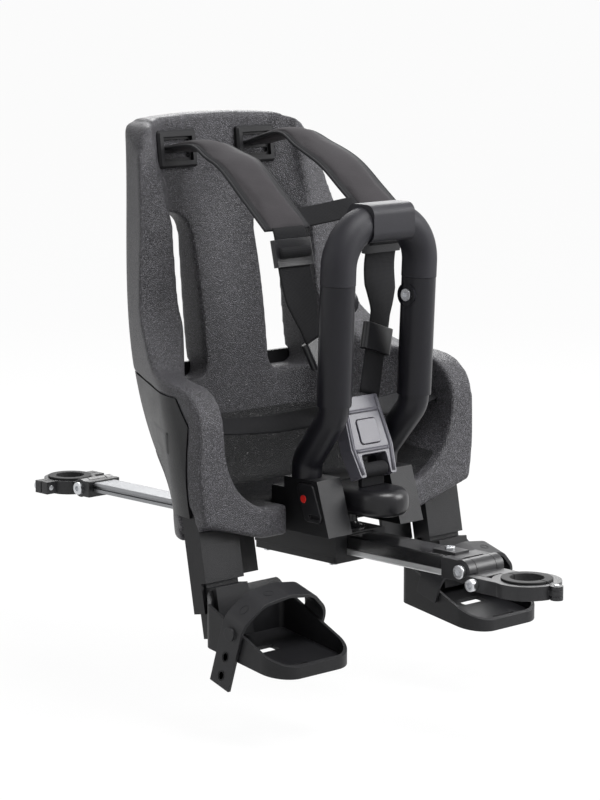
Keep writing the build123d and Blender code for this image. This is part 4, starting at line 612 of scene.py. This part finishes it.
most_swelling = 0.0012
for side in ("left", "right"):
    line = smooth_line(pad_lines[side])
    pad = banded(f"shoulder_pad_{side}_cover", line, pad_outline, (1, 0, 0), pad_cloth)
    remesh = pad.modifiers.new("skin", "REMESH")
    remesh.mode = "VOXEL"
    remesh.voxel_size = 0.0022
    cloth = pad.modifiers.new("fill", "CLOTH")
    cloth.settings.use_pressure = True
    cloth.settings.uniform_pressure_force = 4.0
    cloth.settings.mass = 0.1
    cloth.settings.tension_stiffness = 25.0
    cloth.settings.compression_stiffness = 25.0
    cloth.settings.effector_weights.gravity = 0.0
    for frame_number in range(1, 13):
        bpy.context.scene.frame_set(frame_number)
    graph = bpy.context.evaluated_depsgraph_get()
    filled = bpy.data.meshes.new_from_object(pad.evaluated_get(graph))
    pad.modifiers["fill"].show_viewport = False
    graph = bpy.context.evaluated_depsgraph_get()
    flat = bpy.data.meshes.new_from_object(pad.evaluated_get(graph))
    for vertex, rest in zip(filled.vertices, flat.vertices):
        move = vertex.co - rest.co
        if move.length > most_swelling:
            vertex.co = rest.co + move.normalized() * most_swelling
    pad.modifiers.clear()
    pad.data = filled
    filled.materials.clear()
    filled.materials.append(pad_cloth)
    filled.shade_smooth()
    bpy.context.scene.frame_set(1)
    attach(pad, "seat")
    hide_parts(f"shoulder_pad_{side}")
    flange = banded(f"shoulder_pad_{side}_edge", line, flange_outline, (1, 0, 0), binding_cloth)
    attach(flange, "seat")
    for way in (-1, 1):
        edge = [point + Vector((way * (pad_width(k / (len(line) - 1)) + 0.0004), 0.0, 0.0))
                for k, point in enumerate(line)]
        place = "outer" if way > 0 else "inner"
        piping = banded(f"shoulder_pad_{side}_piping_{place}", edge, piping_outline, (1, 0, 0),
                        binding_cloth)
        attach(piping, "seat")

# The harness webbing is woven polyester with ribs along its length, stitched to the pads' ends and
# threaded through a slider and an adjuster down to the buckle.


def weave_group():
    """Woven webbing: ribs along the band with short floats across them."""
    group, start, end = surface_group("ribbed_weave")
    nodes, links = group.nodes, group.links
    axes = nodes.new("ShaderNodeSeparateXYZ")
    links.new(start.outputs["Vector"], axes.inputs["Vector"])
    waves = []
    for axis in ("X", "Y"):
        scaled = nodes.new("ShaderNodeMath")
        scaled.operation = "MULTIPLY"
        wave = nodes.new("ShaderNodeMath")
        wave.operation = "SINE"
        links.new(axes.outputs[axis], scaled.inputs[0])
        links.new(start.outputs["Fineness"], scaled.inputs[1])
        links.new(scaled.outputs["Value"], wave.inputs[0])
        waves.append(wave)
    both = nodes.new("ShaderNodeMath")
    both.operation = "ADD"
    height = nodes.new("ShaderNodeMapRange")
    height.inputs["From Min"].default_value = -2.0
    height.inputs["From Max"].default_value = 2.0
    links.new(waves[0].outputs["Value"], both.inputs[0])
    links.new(waves[1].outputs["Value"], both.inputs[1])
    links.new(both.outputs["Value"], height.inputs["Value"])
    links.new(height.outputs["Result"], end.inputs["Mask"])
    links.new(height.outputs["Result"], end.inputs["Height"])
    return group


ribbed_weave = weave_group()
webbing = surfaced("black_webbing", ribbed_weave, fineness=4200.0, dark=(0.003, 0.003, 0.0035),
                   light=(0.012, 0.012, 0.0135), rough=(0.7, 0.9), bump=(0.6, 0.0004),
                   stretch=(1.0, 1.3, 1.0), coordinates="UV", mirror=0.15)


def webbing_outline(half, rise=0.001):
    """Section of a flat strap with round selvedges."""
    return [(half, 0.0), (half - 0.0006, rise * 0.8), (half - 0.002, rise), (0.0, rise),
            (0.002 - half, rise), (0.0006 - half, rise * 0.8), (-half, 0.0), (0.0006 - half, -rise * 0.8),
            (0.002 - half, -rise), (0.0, -rise), (half - 0.002, -rise), (half - 0.0006, -rise * 0.8)]


strap_width, strap_width_below = 0.038, 0.024
strap_points = {
    "right": [(-0.048, 0.2425, 0.288), (-0.048, 0.2369, 0.2831), (-0.048, 0.2325, 0.263),
              (-0.048, 0.228, 0.243), (-0.042, 0.219, 0.204), (-0.0305, 0.2119, 0.1725),
              (-0.017, 0.2037, 0.1363)],
    "left": [(0.048, 0.2205, 0.2965), (0.048, 0.2149, 0.2921), (0.048, 0.2185, 0.269),
             (0.048, 0.222, 0.246), (0.042, 0.214, 0.21), (0.0305, 0.209, 0.1765),
             (0.0171, 0.2031, 0.1366)],
}
slider_middle = {"right": (-0.048, 0.2319, 0.2652), "left": (0.048, 0.2171, 0.2712)}
slider_half_width, turn_radius = 0.0175, 0.0052


def strap_outline(share):
    """The strap narrows where it enters the adjuster."""
    ease = min(max((share - 0.58) / 0.1, 0.0), 1.0)
    return webbing_outline(strap_width / 2 - (strap_width - strap_width_below) / 2 * ease)


def turn_outline(share):
    """The strap wound once round the slider's bar."""
    return [(turn_radius * cos(k * pi / 8), turn_radius * sin(k * pi / 8)) for k in range(16)]


for side in ("left", "right"):
    line = smooth_line(strap_points[side])
    strap = banded(f"shoulder_strap_{side}_webbing", line, strap_outline, (1, 0, 0), webbing)
    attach(strap, "seat")
    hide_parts(f"shoulder_strap_{side}")
    softened(f"slider_{side}", "seat", trim_plastic, edge=0.0006)
    middle = Vector(slider_middle[side])
    bar = [middle + Vector((slider_half_width * k / 6, 0.0, 0.0)) for k in range(-6, 7)]
    turn = banded(f"slider_{side}_turn", bar, turn_outline, (0, 0, 1), webbing)
    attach(turn, "seat")
    softened(f"adjuster_{side}", "seat", trim_plastic, edge=0.0009)

# The buckle is a satin grey shield with a sprung button. A crotch strap loops round its lower bar,
# waist belts run from its sides into the bucket, and a chest strap joins the pads.
buckle_grey = surfaced("buckle_grey", mould_grain, fineness=1700.0, dark=(0.045, 0.044, 0.053),
                       light=(0.085, 0.083, 0.098), rough=(0.24, 0.36), bump=(0.12, 0.0003))
softened("buckle_body", "seat", buckle_grey, edge=0.0012, segments=3)
softened("buckle_button", "buckle_button", buckle_grey, edge=0.0007)


buckle_middle = Vector((0.0, 0.191, 0.098))
buckle_up, buckle_out = Vector((0.0, 0.3584, 0.9336)), Vector((0.0, -0.9336, 0.3584))
buckle_face = 0.007


def on_buckle(u, v):
    """A point on the face of the leaning buckle: sideways and up."""
    return buckle_middle + Vector((u, 0.0, 0.0)) + buckle_up * v + buckle_out * buckle_face


def rail_outline(share):
    """Raised moulding with sloped flanks."""
    return [(0.0017, -0.0006), (0.0009, 0.0011), (-0.0009, 0.0011), (-0.0017, -0.0006)]


for side, sign in (("right", -1), ("left", 1)):
    line = [on_buckle(sign * u, v) for u, v in ((0.0192, 0.0372), (0.0206, 0.02), (0.0226, -0.005),
                                                (0.0206, -0.018), (0.0187, -0.0296))]
    rail = banded(f"buckle_rail_{side}", line, rail_outline, (1, 0, 0), buckle_grey)
    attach(rail, "seat")
for name, height, half in (("upper", 0.0265, 0.0188), ("lower", -0.0085, 0.0205)):
    line = [on_buckle(half * k / 4, height) for k in range(-4, 5)]
    step = banded(f"buckle_step_{name}", line, rail_outline, buckle_up, buckle_grey)
    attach(step, "seat")
loop_webbing = surfaced("loop_webbing", ribbed_weave, fineness=4200.0, dark=(0.003, 0.003, 0.0035),
                        light=(0.012, 0.012, 0.0135), rough=(0.7, 0.9), bump=(0.6, 0.0004), mirror=0.15)
crotch = softened("crotch_strap", "seat", loop_webbing, edge=0.0005)
belt_width, chest_width = 0.025, 0.022
for side, sign in (("right", -1), ("left", 1)):
    line = smooth_line([(sign * 0.0264, 0.2158, 0.1224), (sign * 0.05, 0.2237, 0.1196),
                        (sign * 0.075, 0.232, 0.1174), (sign * 0.11, 0.2408, 0.1186),
                        (sign * 0.142, 0.2488, 0.121)])
    belt = banded(f"waist_belt_{side}_webbing", line, lambda share: webbing_outline(belt_width / 2),
                  (0, 0.9, 0.43), webbing)
    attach(belt, "seat")
    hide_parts(f"waist_belt_{side}")
line = smooth_line([(-0.028, 0.2478, 0.2926), (-0.0205, 0.2473, 0.2928), (0.0, 0.2368, 0.2966),
                    (0.0205, 0.2265, 0.301), (0.028, 0.226, 0.3007)])
chest = banded("chest_strap_webbing", line, lambda share: webbing_outline(chest_width / 2), (0, 1, 0.815),
               webbing)
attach(chest, "seat")
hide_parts("chest_strap")

# A pale floor, a white surround and broad soft lights, with the camera where the photograph was taken.
# The seat hangs from the bicycle, so the floor lies just under the foot cups at their longest setting.
foot_drop, reach = 0.0425, 45.0
floor_low = cad_low.z - foot_drop
floor_mesh = bpy.data.meshes.new("floor")
floor_mesh.from_pydata([(-reach, -reach, floor_low), (reach, -reach, floor_low), (reach, reach, floor_low),
                        (-reach, reach, floor_low)], [], [(0, 1, 2, 3)])
floor = bpy.data.objects.new("floor", floor_mesh)
bpy.context.scene.collection.objects.link(floor)
pale = bpy.data.materials.new("pale_floor")
pale.use_nodes = True
nodes, links = pale.node_tree.nodes, pale.node_tree.links
matt = nodes["Principled BSDF"]
matt.inputs["Base Color"].default_value = (0.93, 0.93, 0.93, 1.0)
matt.inputs["Roughness"].default_value = 0.9
matt.inputs["Specular IOR Level"].default_value = 0.1
glow = nodes.new("ShaderNodeEmission")
glow.inputs["Color"].default_value = (1.0, 1.0, 1.0, 1.0)
glow.inputs["Strength"].default_value = 1.0
ray = nodes.new("ShaderNodeLightPath")
mirrored = nodes.new("ShaderNodeMath")
mirrored.operation = "MAXIMUM"
seen = nodes.new("ShaderNodeMath")
seen.operation = "MAXIMUM"
share = nodes.new("ShaderNodeMath")
share.operation = "MULTIPLY"
share.inputs[1].default_value = 0.95
mixed = nodes.new("ShaderNodeMixShader")
links.new(ray.outputs["Is Glossy Ray"], mirrored.inputs[0])
links.new(ray.outputs["Is Transmission Ray"], mirrored.inputs[1])
links.new(ray.outputs["Is Camera Ray"], seen.inputs[0])
links.new(mirrored.outputs["Value"], seen.inputs[1])
links.new(seen.outputs["Value"], share.inputs[0])
links.new(share.outputs["Value"], mixed.inputs[0])
links.new(matt.outputs["BSDF"], mixed.inputs[1])
links.new(glow.outputs["Emission"], mixed.inputs[2])
links.new(mixed.outputs["Shader"], nodes["Material Output"].inputs["Surface"])
floor_mesh.materials.append(pale)

world = bpy.data.worlds.new("surround")
bpy.context.scene.world = world
world.use_nodes = True
nodes, links = world.node_tree.nodes, world.node_tree.links
sky = nodes["Background"]
sky.inputs["Color"].default_value = (1.0, 1.0, 1.0, 1.0)
sky.inputs["Strength"].default_value = 0.3
white = nodes.new("ShaderNodeBackground")
white.inputs["Color"].default_value = (1.0, 1.0, 1.0, 1.0)
white.inputs["Strength"].default_value = 1.0
ray = nodes.new("ShaderNodeLightPath")
mirrored = nodes.new("ShaderNodeMath")
mirrored.operation = "MAXIMUM"
seen = nodes.new("ShaderNodeMath")
seen.operation = "MAXIMUM"
mixed = nodes.new("ShaderNodeMixShader")
links.new(ray.outputs["Is Glossy Ray"], mirrored.inputs[0])
links.new(ray.outputs["Is Transmission Ray"], mirrored.inputs[1])
links.new(ray.outputs["Is Camera Ray"], seen.inputs[0])
links.new(mirrored.outputs["Value"], seen.inputs[1])
links.new(seen.outputs["Value"], mixed.inputs[0])
links.new(sky.outputs["Background"], mixed.inputs[1])
links.new(white.outputs["Background"], mixed.inputs[2])
links.new(mixed.outputs["Shader"], nodes["World Output"].inputs["Surface"])
for name, place, aim, size, power in (
        ("key_light", (1.25, -1.05, 0.95), (0.0, 0.25, 0.12), 0.9, 36.0),
        ("top_light", (0.2, -0.65, 1.9), (0.0, 0.25, 0.15), 0.9, 50.0),
        ("side_light", (-2.0, 0.9, 0.9), (0.0, 0.3, 0.15), 0.9, 6.0),
        ("rim_light", (1.2, 1.4, 1.2), (0.0, 0.25, 0.2), 0.9, 20.0)):
    lamp = bpy.data.lights.new(name, "AREA")
    lamp.energy = power
    lamp.size = size
    light = bpy.data.objects.new(name, lamp)
    bpy.context.scene.collection.objects.link(light)
    light.location = place
    light.rotation_euler = (Vector(aim) - Vector(place)).to_track_quat("-Z", "Y").to_euler()

azimuth, pitch = radians(-43.855), radians(9.3)
back = Vector((sin(azimuth) * cos(pitch), -cos(azimuth) * cos(pitch), sin(pitch)))
view = bpy.data.cameras.new("camera")
view.lens = 128.25
view.sensor_width = 36.0
view.clip_start = 0.05
view.clip_end = 90.0
camera = bpy.data.objects.new("camera", view)
bpy.context.scene.collection.objects.link(camera)
camera.location = (-1.7456, -1.5435, 0.5379)
camera.rotation_euler = (-back).to_track_quat("-Z", "Y").to_euler()
bpy.context.scene.camera = camera
bpy.context.scene.view_settings.view_transform = "Standard"
